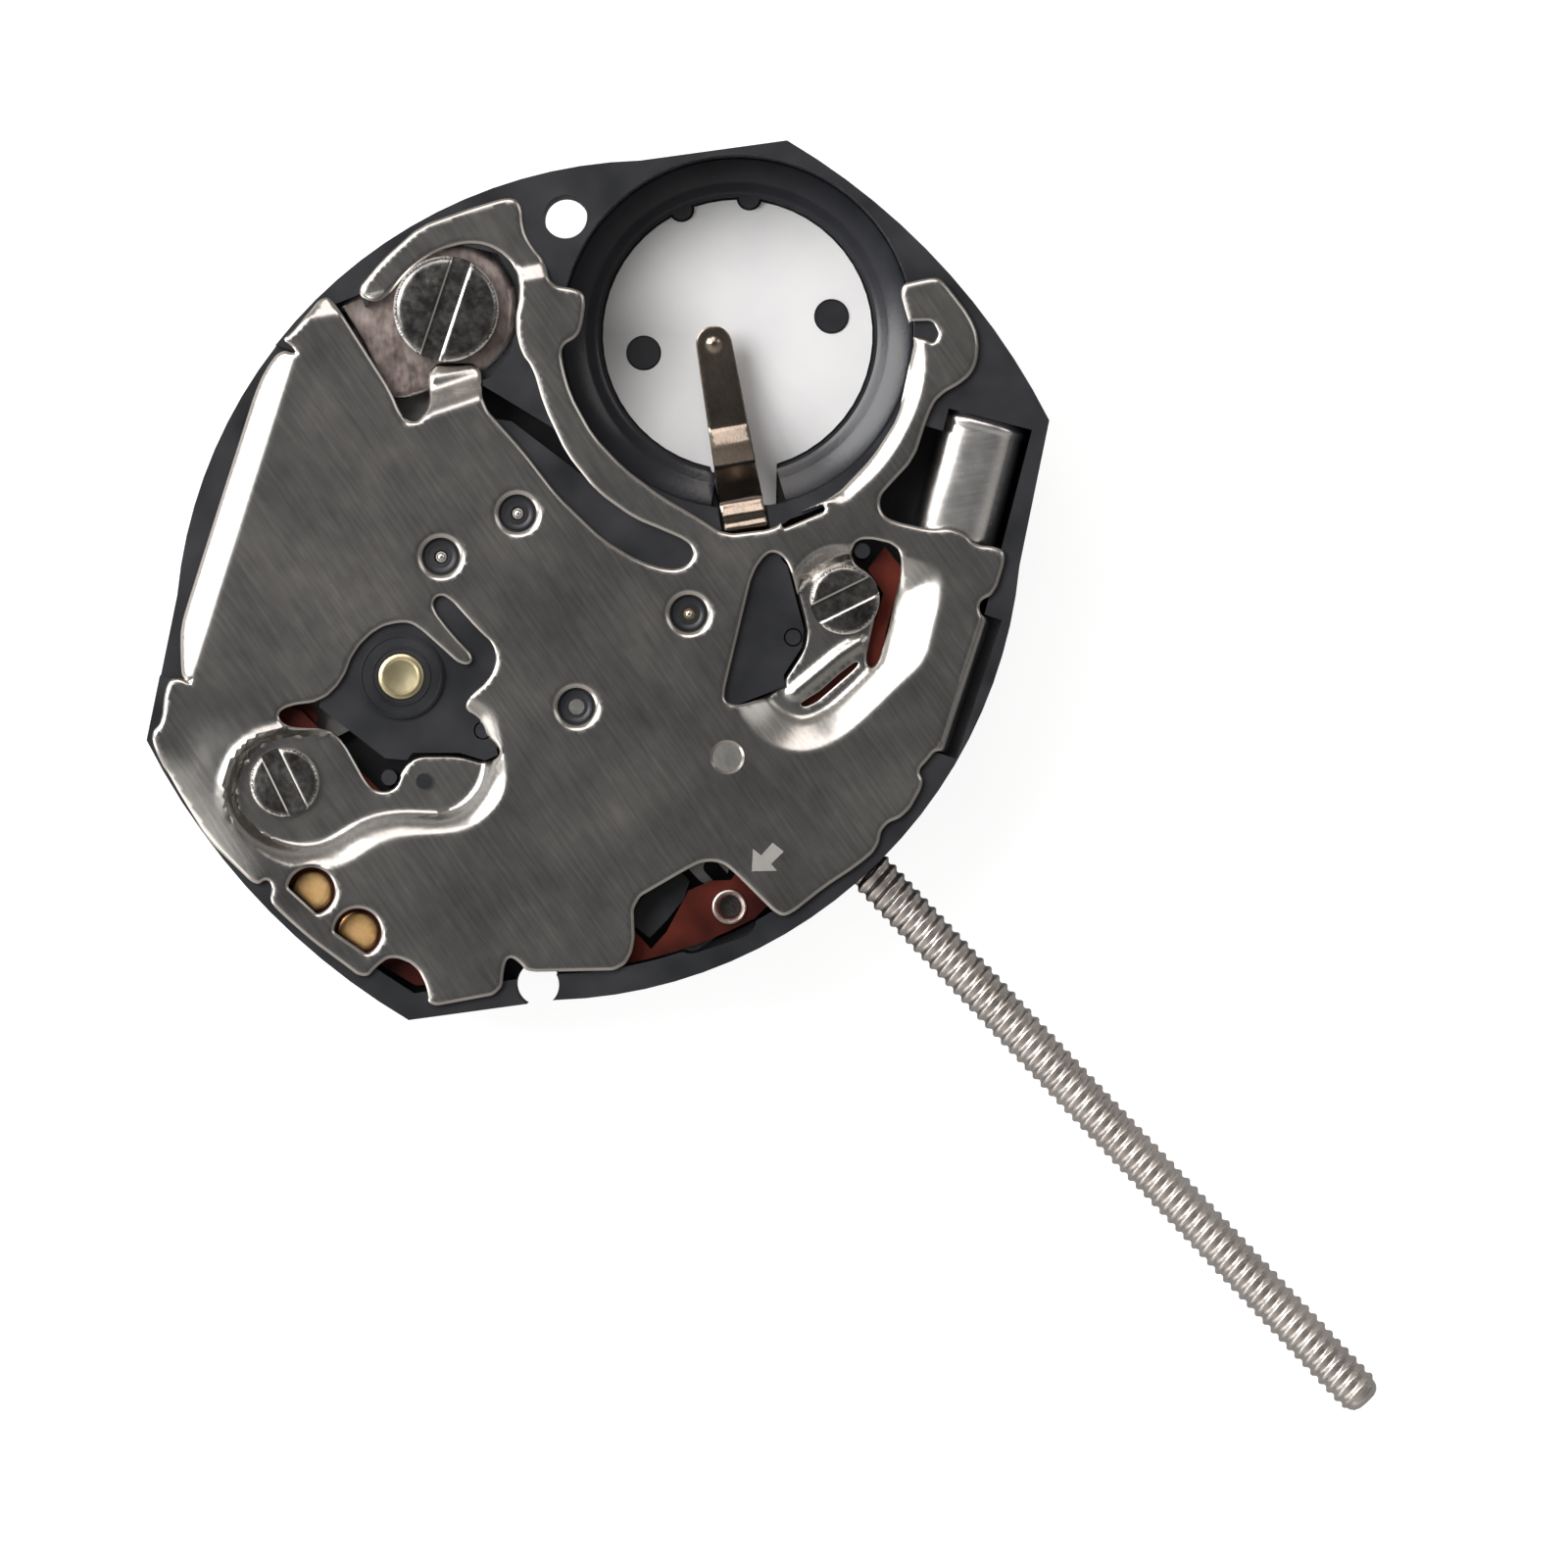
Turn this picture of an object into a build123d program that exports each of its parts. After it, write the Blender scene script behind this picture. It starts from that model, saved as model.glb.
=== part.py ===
from build123d import *
import math
import os

# A small three-hand quartz watch movement, seen with its cover side up.
# Frame: the hands' axis is the origin, z = 0 is the face that the dial lies on,
# +X runs out along the winding stem, +Y runs to the battery, +Z to the cover.
# All lengths are in millimetres.

os.makedirs("parts", exist_ok=True)

# Body outline
half_width = 7.68
half_length = 9.0
side_wall = 0.5
web_thickness = 0.25
dial_recess_depth = 0.75
running_gap = 0.03
seat_gap = 0.05
cut_overrun = 1.0

# Cover sheet and battery
cover_thickness = 0.15
dish_depth = 0.30
cell_height = 2.15
well_radius = 3.42
well_ring_wall = 0.34
well_floor = 0.20
well_disc_radius = 2.62
well_disc_thickness = 0.10
well_pin_radius = 0.34
well_pin_spread = 1.86
well_pin_bearing = 57.9
well_tab_radius = 0.20
well_tab_bearings = (161, 132)

# Running train: gear counts and modules, from the rotor down to the centre wheel
addendum_share = 0.85
dedendum_share = 1.15
tooth_shares = ((-0.32, 0), (-0.14, 1), (0.14, 1), (0.32, 0))
wheel_thickness = 0.10
tier_gap = 0.11
pivot_radius = 0.10
arbor_radius = 0.14
rotor_pinion_teeth = 8
sixth_wheel_teeth = 40
rotor_mesh_module = 0.1014
rotor_bearing = 298.5
sixth_pinion_teeth = 16
fifth_wheel_teeth = 32
sixth_mesh_module = 0.0708
sixth_bearing = 256.4
fifth_pinion_teeth = 20
fourth_wheel_teeth = 60
fifth_mesh_module = 0.0504
fifth_bearing = 187.1
fourth_pinion_teeth = 8
third_wheel_teeth = 60
fourth_mesh_module = 0.0550
third_bearing = 26.7
third_pinion_teeth = 8
centre_wheel_teeth = 64

# Motion work on the dial side
cannon_pinion_teeth = 10
minute_wheel_teeth = 40
motion_module = 0.0990
minute_bearing = 307.3
minute_pinion_teeth = 14
hour_wheel_teeth = 42
setting_wheel_teeth = 12
setting_bearing = 40.0
hour_wheel_lift = 0.12
motion_tier_gap = 0.16
hour_pipe_radius = 0.60
hour_pipe_length = 0.95
cannon_radius = 0.35
cannon_length = 1.35
seconds_pivot_radius = 0.09
seconds_pivot_length = 1.75
minute_stud_radius = 0.15
setting_stud_radius = 0.18

# Step motor
magnet_radius = 0.50
magnet_thickness = 0.50
rotor_hole_radius = 0.62
stator_thickness = 0.40
stator_ear_radius = 0.50
stator_limb_half_width = 0.42
stator_disc_radius = 1.05
stator_reach_upper = 1.20
stator_reach_lower = 1.30
core_thickness = 0.35
core_half_width = 0.30
coil_radius = 0.60
coil_end_gap = 0.85
bush_radius = 0.46
bush_boss_radius = 0.82
bush_boss_height = 0.09
lead_board_thickness = 0.10

# Bridge and fixings
bridge_thickness = 0.25
bridge_post_radius = 0.26
bridge_stud_radius = 0.15
clamp_sheet_thickness = 0.10
clamp_screw_radius = 1.02
clamp_screw_head = 0.38
clamp_screw_slot_angle = 118
cover_screw_radius = 0.67
cover_screw_head = 0.26
cover_screw_slot_angles = (-17, 73)
screw_shank_radius = 0.30
screw_shank_length = 1.0
screw_slot_width = 0.34
screw_slot_depth = 0.14
screw_pillar_radius = 0.50
foot_hole_radius = 0.42
cover_pivot_hole_radius = 0.41

# Electronics
board_thickness = 0.12
board_gap = 0.07
pad_thickness = 0.04
pad_radius = 0.30
pad_hole_radius = 0.42
chip_length = 1.50
chip_width = 1.30
chip_thickness = 0.40
crystal_radius = 0.78
crystal_length = 4.40
crystal_cover_gap = 0.10
crystal_lead_radius = 0.10
crystal_lead_spread = 0.25
crystal_lead_length = 0.55
strip_thickness = 0.10
strip_root_half_width = 0.32
strip_tip_half_width = 0.42

# Winding stem and setting work
stem_axis_lift = 0.10
stem_bearing_length = 0.30
thread_radius = 0.45
relief_start = 7.20
relief_radius = 0.29
thread_start = 7.62
stem_end = 21.80
stem_tip_chamfer = 0.20
shoulder_radius = 0.50
shoulder_start = 5.45
groove_start = 5.65
groove_width = 0.30
groove_radius = 0.28
square_start = 3.40
square_half = 0.20
pilot_start = 2.00
pilot_radius = 0.18
pilot_block_start = 2.85
pilot_block_length = 0.40
clutch_start = 4.50
clutch_end = 5.38
clutch_radius = 0.70
clutch_groove_start = 4.88
clutch_groove_width = 0.22
clutch_groove_radius = 0.42
clutch_tooth_depth = 0.12
clutch_teeth = 12
clutch_shift = 0.30
stem_pull = 0.80
lever_thickness = 0.15
lever_arm = 2.88
lever_pin_radius = 0.13
lever_pin_offset = 0.47
lever_pin_length = 1.05
lever_half_width = 0.34
lever_tip_half_width = 0.22
lever_dimple_radius = 0.16
lever_dimple_depth = 0.07
lever_dimple_rise = 0.91
lever_dimple_shift = 0.14
yoke_thickness = 0.15
yoke_half_width = 0.34
yoke_arm_half_width = 0.20
yoke_base_offset = 2.20
yoke_stud_radius = 0.12
yoke_stud_spread = 1.10
yoke_finger_width = 0.16
yoke_finger_reach = 0.46
reset_lever_half_width = 0.16
pivot_boss_radius = 0.32
pivot_pin_radius = 0.14
guard_thickness = 0.12
guard_lift = 0.10
guard_half_width = 0.50
guard_screw_radius = 0.38
guard_shank_radius = 0.18
guard_shank_length = 0.35

# Places in the plan, as shares of the half width and the half length
clamp_screw_share = (-0.758, 0.160)
cover_screw_shares = ((-0.168, -0.787), (0.460, 0.358))
well_share = (-0.217, 0.583)
foot_hole_share = (-0.723, 0.482)
foot_notch_share = (0.638, -0.688)
board_post_shares = ((0.069, -0.567), (0.003, -0.616), (0.400, 0.457))
bridge_post_shares = ((0.440, 0.222), (0.078, -0.400), (-0.456, 0.050), (0.449, -0.167))
core_end_shares = ((-0.789, -0.079), (-0.371, -0.721))
pad_shares = ((0.083, -0.901), (0.230, -0.890))
pad_notch_share = 0.55
crystal_head_share = (0.382, 0.846)
crystal_bearing = -57.6
chip_share = (0.300, -0.700)
reset_pivot_share = (0.508, -0.467)
reset_elbow_share = (0.339, -0.256)
reset_tip_share = (0.211, -0.094)
guard_screw_shares = ((0.456, 0.156), (0.117, -0.489))
guard_knee_share = (0.345, -0.322)
strip_root_share = (0.172, 0.300)
strip_tip_share = (-0.277, 0.552)
strip_bay_shares = ((0.173, 0.392), (0.049, 0.495), (-0.058, 0.356), (0.069, 0.298))
strip_profile_shares = ((0, 1), (0.16, 1), (0.34, 0.35), (0.52, 0.06), (0.80, 0.12), (1, 0.20))

corner_share = (0.482, 0.941)
shoulder_share = (0.697, 0.682)
cavity_limit_shares = (
    (-1.10, -0.03), (-0.62, 0.09), (-0.20, 0.19), (0.07, 0.23), (0.21, 0.33),
    (0.26, 0.73), (0.34, 0.77), (0.52, 0.60), (0.76, 0.42), (1.10, 0.38),
    (1.10, -1.10), (-1.10, -1.10),
)
bridge_shares = (
    (-0.560, -0.030), (-0.510, 0.050), (-0.440, 0.098), (-0.195, 0.133), (0.026, 0.178),
    (0.182, 0.278), (0.260, 0.333), (0.339, 0.306), (0.488, 0.244), (0.514, 0.133),
    (0.514, -0.222), (0.378, -0.322), (0.117, -0.500), (0.026, -0.544), (-0.039, -0.594),
    (-0.247, -0.622), (-0.339, -0.500), (-0.462, -0.333), (-0.579, -0.144),
)
board_shares = (
    (0.430, 0.500), (0.501, 0.494), (0.540, 0.444), (0.592, 0.372), (0.638, 0.328),
    (0.800, 0.322), (0.865, 0.211), (0.890, 0.056), (0.885, -0.111), (0.891, -0.289),
    (0.883, -0.356), (0.840, -0.411), (0.797, -0.472), (0.784, -0.517), (0.742, -0.550),
    (0.677, -0.600), (0.580, -0.625),
    (0.535, -0.690), (0.521, -0.790), (0.430, -0.880), (0.247, -0.925), (0.000, -0.930),
    (-0.182, -0.920), (-0.313, -0.885), (-0.358, -0.778), (-0.319, -0.678), (-0.273, -0.656),
    (0.039, -0.650), (0.143, -0.533), (0.195, -0.478), (0.404, -0.344), (0.534, -0.244),
    (0.540, 0.167), (0.547, 0.289), (0.549, 0.378), (0.514, 0.428), (0.443, 0.439),
)
board_window_shares = (
    (0.651, -0.456), (0.768, -0.458), (0.763, -0.409), (0.745, -0.364), (0.725, -0.313),
    (0.745, -0.264), (0.779, -0.231), (0.768, -0.194), (0.677, -0.206), (0.645, -0.289),
)
board_pad_shares = (
    (0.658, -0.456), (0.745, -0.444), (0.742, -0.389), (0.732, -0.333), (0.710, -0.298),
    (0.658, -0.298),
)
cover_edge_shares = (
    (-0.996, -0.007), (-0.978, -0.120), (-0.985, -0.142), (-0.951, -0.135), (-0.930, -0.140),
    (-0.508, -0.785), (-0.554, -0.806), (-0.544, -0.837), (-0.486, -0.892), (-0.489, -0.919),
    (-0.457, -0.939), (-0.356, -0.967), (-0.193, -0.991), (-0.023, -0.983), (-0.024, -0.956),
    (0.008, -0.945), (0.068, -0.964), (0.170, -0.970), (0.251, -0.963), (0.333, -0.951),
    (0.328, -0.909), (0.335, -0.872), (0.395, -0.848), (0.460, -0.865), (0.492, -0.891),
    (0.593, -0.756), (0.545, -0.711), (0.537, -0.688), (0.573, -0.682), (0.596, -0.686),
    (0.757, -0.533), (0.736, -0.479), (0.648, -0.414), (0.685, -0.277), (0.697, -0.246),
    (0.729, -0.220), (0.766, -0.215), (0.926, -0.210), (0.944, -0.190), (0.953, -0.094),
    (0.970, -0.010), (0.973, 0.045), (0.937, 0.086), (0.961, 0.138), (0.932, 0.216),
    (0.899, 0.220), (0.896, 0.254), (0.891, 0.281), (0.721, 0.546), (0.692, 0.566),
    (0.707, 0.601), (0.657, 0.675), (0.629, 0.677), (0.581, 0.640), (0.548, 0.644),
    (0.504, 0.625), (0.484, 0.598), (0.399, 0.548), (0.364, 0.541), (0.332, 0.561),
    (0.327, 0.590), (0.321, 0.673), (0.265, 0.758), (0.246, 0.802), (0.266, 0.869),
    (0.256, 0.909), (0.211, 0.951), (0.154, 0.970), (0.046, 0.979), (0.025, 0.973),
    (-0.001, 0.939), (-0.024, 0.903), (0.045, 0.871), (0.101, 0.851), (0.134, 0.811),
    (0.216, 0.710), (0.246, 0.609), (0.253, 0.494), (0.210, 0.385), (0.209, 0.351),
    (0.134, 0.264), (0.062, 0.250), (-0.047, 0.222), (-0.163, 0.205), (-0.274, 0.205),
    (-0.388, 0.230), (-0.465, 0.265), (-0.493, 0.288), (-0.481, 0.321), (-0.492, 0.347),
    (-0.539, 0.396), (-0.567, 0.396), (-0.623, 0.357), (-0.675, 0.384), (-0.732, 0.387),
    (-0.771, 0.397), (-0.821, 0.432), (-0.854, 0.426), (-0.898, 0.352), (-0.955, 0.242),
    (-0.958, 0.135), (-0.944, 0.040), (-0.889, 0.057), (-0.883, 0.096), (-0.890, 0.147),
    (-0.886, 0.210), (-0.865, 0.260), (-0.833, 0.301), (-0.784, 0.327), (-0.715, 0.332),
    (-0.659, 0.300), (-0.614, 0.246), (-0.548, 0.213), (-0.501, 0.210), (-0.412, 0.171),
    (-0.286, 0.136), (-0.163, 0.128), (-0.051, 0.147), (0.014, 0.173), (0.086, 0.199),
    (0.118, 0.191), (0.128, 0.160), (0.107, 0.128), (0.038, 0.093), (-0.067, 0.068),
    (-0.223, 0.061), (-0.365, 0.073), (-0.520, 0.076), (-0.601, 0.135), (-0.690, 0.053),
    (-0.613, -0.005), (-0.596, -0.045), (-0.611, -0.062), (-0.642, -0.066), (-0.702, -0.046),
    (-0.945, -0.007),
)
triangle_hole_shares = (
    (0.239, 0.307), (0.251, 0.254), (0.427, 0.027), (0.448, 0.021), (0.476, 0.040),
    (0.511, 0.112), (0.479, 0.224), (0.446, 0.256), (0.301, 0.323), (0.261, 0.324),
)
pillar_window_shares = (
    (-0.306, -0.700), (-0.302, -0.668), (-0.252, -0.610), (-0.254, -0.545), (-0.290, -0.485),
    (-0.292, -0.414), (-0.259, -0.365), (-0.220, -0.342), (-0.069, -0.321), (-0.070, -0.307),
    (-0.241, -0.294), (-0.244, -0.265), (-0.215, -0.257), (-0.083, -0.250), (-0.035, -0.265),
    (-0.009, -0.303), (-0.013, -0.375), (0.010, -0.399), (0.063, -0.410), (0.128, -0.396),
    (0.157, -0.410), (0.142, -0.445), (0.084, -0.473), (0.005, -0.545), (0.014, -0.590),
    (0.033, -0.625), (0.018, -0.650), (-0.015, -0.662), (-0.146, -0.634), (-0.190, -0.640),
    (-0.266, -0.703),
)
screw_slot_hole_shares = (
    (0.371, 0.449), (0.379, 0.480), (0.452, 0.522), (0.496, 0.498), (0.601, 0.369),
    (0.640, 0.303), (0.612, 0.294), (0.515, 0.414), (0.473, 0.437), (0.405, 0.424),
)
lower_dish_shares = (
    (-0.311, -0.830), (-0.329, -0.739), (-0.281, -0.696), (0.159, -0.386), (0.210, -0.432),
    (0.239, -0.507), (0.187, -0.610), (0.112, -0.694), (0.075, -0.780), (0.013, -0.873),
    (-0.122, -0.904), (-0.231, -0.886),
)
upper_dish_shares = (
    (0.261, 0.330), (0.344, 0.473), (0.470, 0.520), (0.500, 0.540), (0.557, 0.478),
    (0.616, 0.400), (0.660, 0.340), (0.692, 0.253), (0.688, 0.126), (0.621, 0.050),
    (0.461, 0.020), (0.514, 0.136),
)
neck_dish_shares = ((-0.640, -0.060), (-0.505, 0.070), (-0.660, 0.180), (-0.760, 0.020))
clamp_sheet_shares = (
    (-0.930, 0.040), (-0.893, 0.028), (-0.899, 0.062), (-0.899, 0.109), (-0.893, 0.182),
    (-0.881, 0.229), (-0.853, 0.270), (-0.770, 0.316), (-0.684, 0.302), (-0.610, 0.249),
    (-0.573, 0.190), (-0.564, 0.128), (-0.595, 0.072), (-0.643, 0.016), (-0.642, -0.019),
    (-0.674, -0.031), (-0.691, -0.064), (-0.845, -0.021), (-0.950, -0.004),
)
flange_line_shares = ((-0.930, -0.140), (-0.508, -0.785))
flange_reach = 0.86
flange_drop = 0.42
flange_inset = 0.12
edge_tab_shares = ((0.721, 0.546), (0.891, 0.281))
edge_tab_reach = 0.24
edge_tab_drop = 0.35


def at(share):
    """The plan place in millimetres of a pair of shares."""
    return (share[0] * half_width, share[1] * half_length)


def polar(start, distance, degrees):
    """The plan place at a distance and bearing from another."""
    angle = math.radians(degrees)
    return (start[0] + distance * math.cos(angle), start[1] + distance * math.sin(angle))


def centre_distance(teeth_a, teeth_b, module):
    return module * (teeth_a + teeth_b) / 2


# Plan places that follow from the gears
hands = (0, 0)
fifth_place = polar(
    hands, centre_distance(fifth_pinion_teeth, fourth_wheel_teeth, fifth_mesh_module), fifth_bearing
)
sixth_place = polar(
    fifth_place, centre_distance(sixth_pinion_teeth, fifth_wheel_teeth, sixth_mesh_module),
    sixth_bearing,
)
rotor_place = polar(
    sixth_place, centre_distance(rotor_pinion_teeth, sixth_wheel_teeth, rotor_mesh_module),
    rotor_bearing,
)
third_distance = centre_distance(fourth_pinion_teeth, third_wheel_teeth, fourth_mesh_module)
third_place = polar(hands, third_distance, third_bearing)
third_mesh_module = 2 * third_distance / (third_pinion_teeth + centre_wheel_teeth)
minute_distance = centre_distance(cannon_pinion_teeth, minute_wheel_teeth, motion_module)
minute_place = polar(hands, minute_distance, minute_bearing)
hour_mesh_module = 2 * minute_distance / (minute_pinion_teeth + hour_wheel_teeth)
setting_place = polar(
    minute_place, centre_distance(setting_wheel_teeth, minute_wheel_teeth, motion_module),
    setting_bearing,
)
well_place = at(well_share)
clamp_screw_place = at(clamp_screw_share)
cover_screw_places = [at(share) for share in cover_screw_shares]
bridge_post_places = [at(share) for share in bridge_post_shares]
core_ends = [at(share) for share in core_end_shares]
reset_pivot_place = at(reset_pivot_share)

# Levels above the dial seat, from the web up
web_top = dial_recess_depth + web_thickness
centre_wheel_level = web_top + seat_gap
stem_level = web_top + stem_axis_lift
square_sweep = square_half * math.sqrt(2)
third_wheel_level = max(
    stem_level + square_sweep + running_gap, centre_wheel_level + wheel_thickness + tier_gap
)
fourth_wheel_level = third_wheel_level + wheel_thickness + tier_gap
fifth_wheel_level = fourth_wheel_level + wheel_thickness + tier_gap
sixth_wheel_level = fifth_wheel_level + wheel_thickness + tier_gap
bridge_level = sixth_wheel_level + wheel_thickness + tier_gap
plate_top = bridge_level + bridge_thickness
cover_top = plate_top + cover_thickness
dish_level = plate_top - dish_depth
dish_top = dish_level + cover_thickness
clamp_level = dish_level - clamp_sheet_thickness
board_level = dish_level - board_gap - board_thickness
board_top = board_level + board_thickness
well_ledge = cover_top - cell_height
stator_level = web_top + 2 * seat_gap
stator_top = stator_level + stator_thickness
core_top = stator_top + core_thickness
coil_axis_level = stator_top + core_thickness / 2
crystal_level = plate_top - crystal_cover_gap - crystal_radius
lever_level = board_level - board_gap - lever_thickness
yoke_level = web_top + running_gap
motion_wheel_level = hour_wheel_lift + wheel_thickness + motion_tier_gap
running_wheels = (
    (hands, centre_wheel_teeth, third_mesh_module, centre_wheel_level),
    (third_place, third_wheel_teeth, fourth_mesh_module, third_wheel_level),
    (hands, fourth_wheel_teeth, fifth_mesh_module, fourth_wheel_level),
    (fifth_place, fifth_wheel_teeth, sixth_mesh_module, fifth_wheel_level),
    (sixth_place, sixth_wheel_teeth, rotor_mesh_module, sixth_wheel_level),
)

# The stem carries the setting lever's pin and the clutch in its rest place
lever_pin_place = (groove_start + groove_width / 2, -lever_pin_offset)
lever_pivot_place = (lever_pin_place[0] + stem_pull / 2, -lever_pin_offset - lever_arm)
lever_swing = 2 * math.degrees(math.asin(stem_pull / 2 / lever_arm))
lever_dimple_place = (
    lever_pivot_place[0] + lever_dimple_shift, lever_pivot_place[1] + lever_dimple_rise
)
yoke_finger_place = (clutch_groove_start + clutch_groove_width / 2, -yoke_finger_reach)
yoke_base_place = (yoke_finger_place[0], -yoke_base_offset)
yoke_stud_places = [
    (yoke_base_place[0] + side * yoke_stud_spread / 2, yoke_base_place[1]) for side in (-1, 1)
]


def lifted(shape, level):
    return Pos(0, 0, level) * shape


def slab(face, bottom, top):
    """A flat face given thickness between two levels."""
    return lifted(extrude(face, amount=top - bottom), bottom)


def post(place, radius, bottom, top):
    """An upright cylinder between two levels."""
    align = (Align.CENTER, Align.CENTER, Align.MIN)
    return Pos(place[0], place[1], bottom) * Cylinder(radius, top - bottom, align=align)


def rod(start_x, end_x, radius, level):
    """A cylinder along the stem's axis."""
    align = (Align.CENTER, Align.CENTER, Align.MIN)
    return Pos(start_x, 0, level) * Rot(0, 90, 0) * Cylinder(radius, end_x - start_x, align=align)


def block(x_from, x_to, y_from, y_to, bottom, top):
    align = (Align.MIN, Align.MIN, Align.MIN)
    return Pos(x_from, y_from, bottom) * Box(x_to - x_from, y_to - y_from, top - bottom, align=align)


def polygon(shares):
    """The face inside an outline given in shares."""
    return make_face(Polyline(*[at(share) for share in shares], close=True))


def circle(place, radius):
    return Pos(place[0], place[1]) * Circle(radius)


def link(start, end, half_width_of_link):
    """A flat bar with round ends between two plan places."""
    length = math.dist(start, end)
    angle = math.degrees(math.atan2(end[1] - start[1], end[0] - start[0]))
    middle = ((start[0] + end[0]) / 2, (start[1] + end[1]) / 2)
    bar = Pos(*middle) * Rot(0, 0, angle) * Rectangle(length, 2 * half_width_of_link)
    return bar + circle(start, half_width_of_link) + circle(end, half_width_of_link)


def gear_face(place, teeth, module, towards=0):
    """A toothed disc with one tooth at the bearing given."""
    pitch_radius = teeth * module / 2
    radii = (pitch_radius - dedendum_share * module, pitch_radius + addendum_share * module)
    pitch_angle = 2 * math.pi / teeth
    points = []
    for tooth in range(teeth):
        for share, outer in tooth_shares:
            angle = math.radians(towards) + pitch_angle * (tooth + share)
            points.append((radii[outer] * math.cos(angle), radii[outer] * math.sin(angle)))
    return Pos(place[0], place[1]) * make_face(Polyline(*points, close=True))


def half_tooth(teeth):
    """The turn that puts a gap where a tooth was."""
    return 180 / teeth


def wheel_room(place, teeth, module, level):
    """The free space round a running wheel."""
    radius = (teeth / 2 + addendum_share) * module + running_gap
    return post(place, radius, level - running_gap, level + wheel_thickness + running_gap)


def plate_outline():
    """Tonneau outline: bowed ends and sides joined by straight shoulders."""
    corner_x, corner_y = at(corner_share)
    shoulder_x, shoulder_y = at(shoulder_share)
    edges = ThreePointArc((-corner_x, corner_y), (0, half_length), (corner_x, corner_y))
    edges += Line((corner_x, corner_y), (shoulder_x, shoulder_y))
    edges += ThreePointArc((shoulder_x, shoulder_y), (half_width, 0), (shoulder_x, -shoulder_y))
    edges += Line((shoulder_x, -shoulder_y), (corner_x, -corner_y))
    edges += ThreePointArc((corner_x, -corner_y), (0, -half_length), (-corner_x, -corner_y))
    edges += Line((-corner_x, -corner_y), (-shoulder_x, -shoulder_y))
    edges += ThreePointArc((-shoulder_x, -shoulder_y), (-half_width, 0), (-shoulder_x, shoulder_y))
    edges += Line((-shoulder_x, shoulder_y), (-corner_x, corner_y))
    return make_face(edges)


def crystal_axis_frame():
    """The frame of the crystal can: its local X runs from the closed head to the leads."""
    head = at(crystal_head_share)
    return Pos(head[0], head[1], crystal_level) * Rot(0, 0, crystal_bearing)


def strip_frame():
    """The frame of the minus strip: its local X runs from the root to the tip."""
    root = at(strip_root_share)
    tip = at(strip_tip_share)
    angle = math.degrees(math.atan2(tip[1] - root[1], tip[0] - root[0]))
    return Pos(root[0], root[1], 0) * Rot(0, 0, angle)


def strip_length():
    return math.dist(at(strip_root_share), at(strip_tip_share))


def strip_line():
    """The strip's upper line as places along it and levels."""
    heel_level = well_ledge + 2 * strip_thickness
    rise = dish_level - heel_level
    return [(along * strip_length(), heel_level + up * rise) for along, up in strip_profile_shares]


def strip_room():
    """The space above the strip's underside that stays free of the plate."""
    below = [(x, z - strip_thickness) for x, z in strip_line()]
    top = plate_top + cut_overrun
    side = make_face(Polyline(*below, (strip_length(), top), (0, top), close=True))
    wide = strip_tip_half_width + seat_gap
    return strip_frame() * extrude(Plane.XZ * side, amount=wide, both=True)


def screw(place, head_radius, head_height, seat_level, slot_angle):
    """A slotted screw whose head sits on the level given."""
    body = post(place, head_radius, seat_level, seat_level + head_height)
    body = chamfer(body.edges().sort_by(Axis.Z)[-1], screw_slot_depth / 3)
    slot = Pos(place[0], place[1], seat_level + head_height) * Rot(0, 0, slot_angle)
    slot = slot * Box(4 * head_radius, screw_slot_width, 2 * screw_slot_depth)
    shank = post(place, screw_shank_radius, seat_level - screw_shank_length, seat_level)
    return body - slot + shank


def flange_cut(line_shares, reach, drop, outward):
    """The space outside a folded edge that the plate's rim leaves free."""
    start, end = [at(share) for share in line_shares]
    length = math.dist(start, end)
    angle = math.degrees(math.atan2(end[1] - start[1], end[0] - start[0]))
    align = (Align.MIN, Align.CENTER, Align.CENTER)
    cutter = Box(length + 2 * seat_gap, 2 * reach, 2 * (drop + seat_gap), align=align)
    cutter = Pos(-seat_gap, outward * (reach - seat_gap), 0) * cutter
    return Pos(start[0], start[1], plate_top) * Rot(0, 0, angle) * cutter


def folded_edge(line_shares, reach, drop, outward):
    """A strip of the cover folded down along a line."""
    start, end = [at(share) for share in line_shares]
    length = math.dist(start, end)
    angle = math.degrees(math.atan2(end[1] - start[1], end[0] - start[0]))
    section = Polyline(
        (0, 0), (0, cover_thickness), (outward * reach, cover_thickness - drop),
        (outward * reach, -drop), close=True,
    )
    strip = extrude(Plane.YZ * make_face(section), amount=length)
    return Pos(start[0], start[1], plate_top) * Rot(0, 0, angle) * strip


def cavity_face():
    """The open middle of the plate on the cover side."""
    inside = offset(plate_outline(), amount=-side_wall)
    return (inside & polygon(cavity_limit_shares)) - circle(well_place, well_radius + well_ring_wall)


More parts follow.
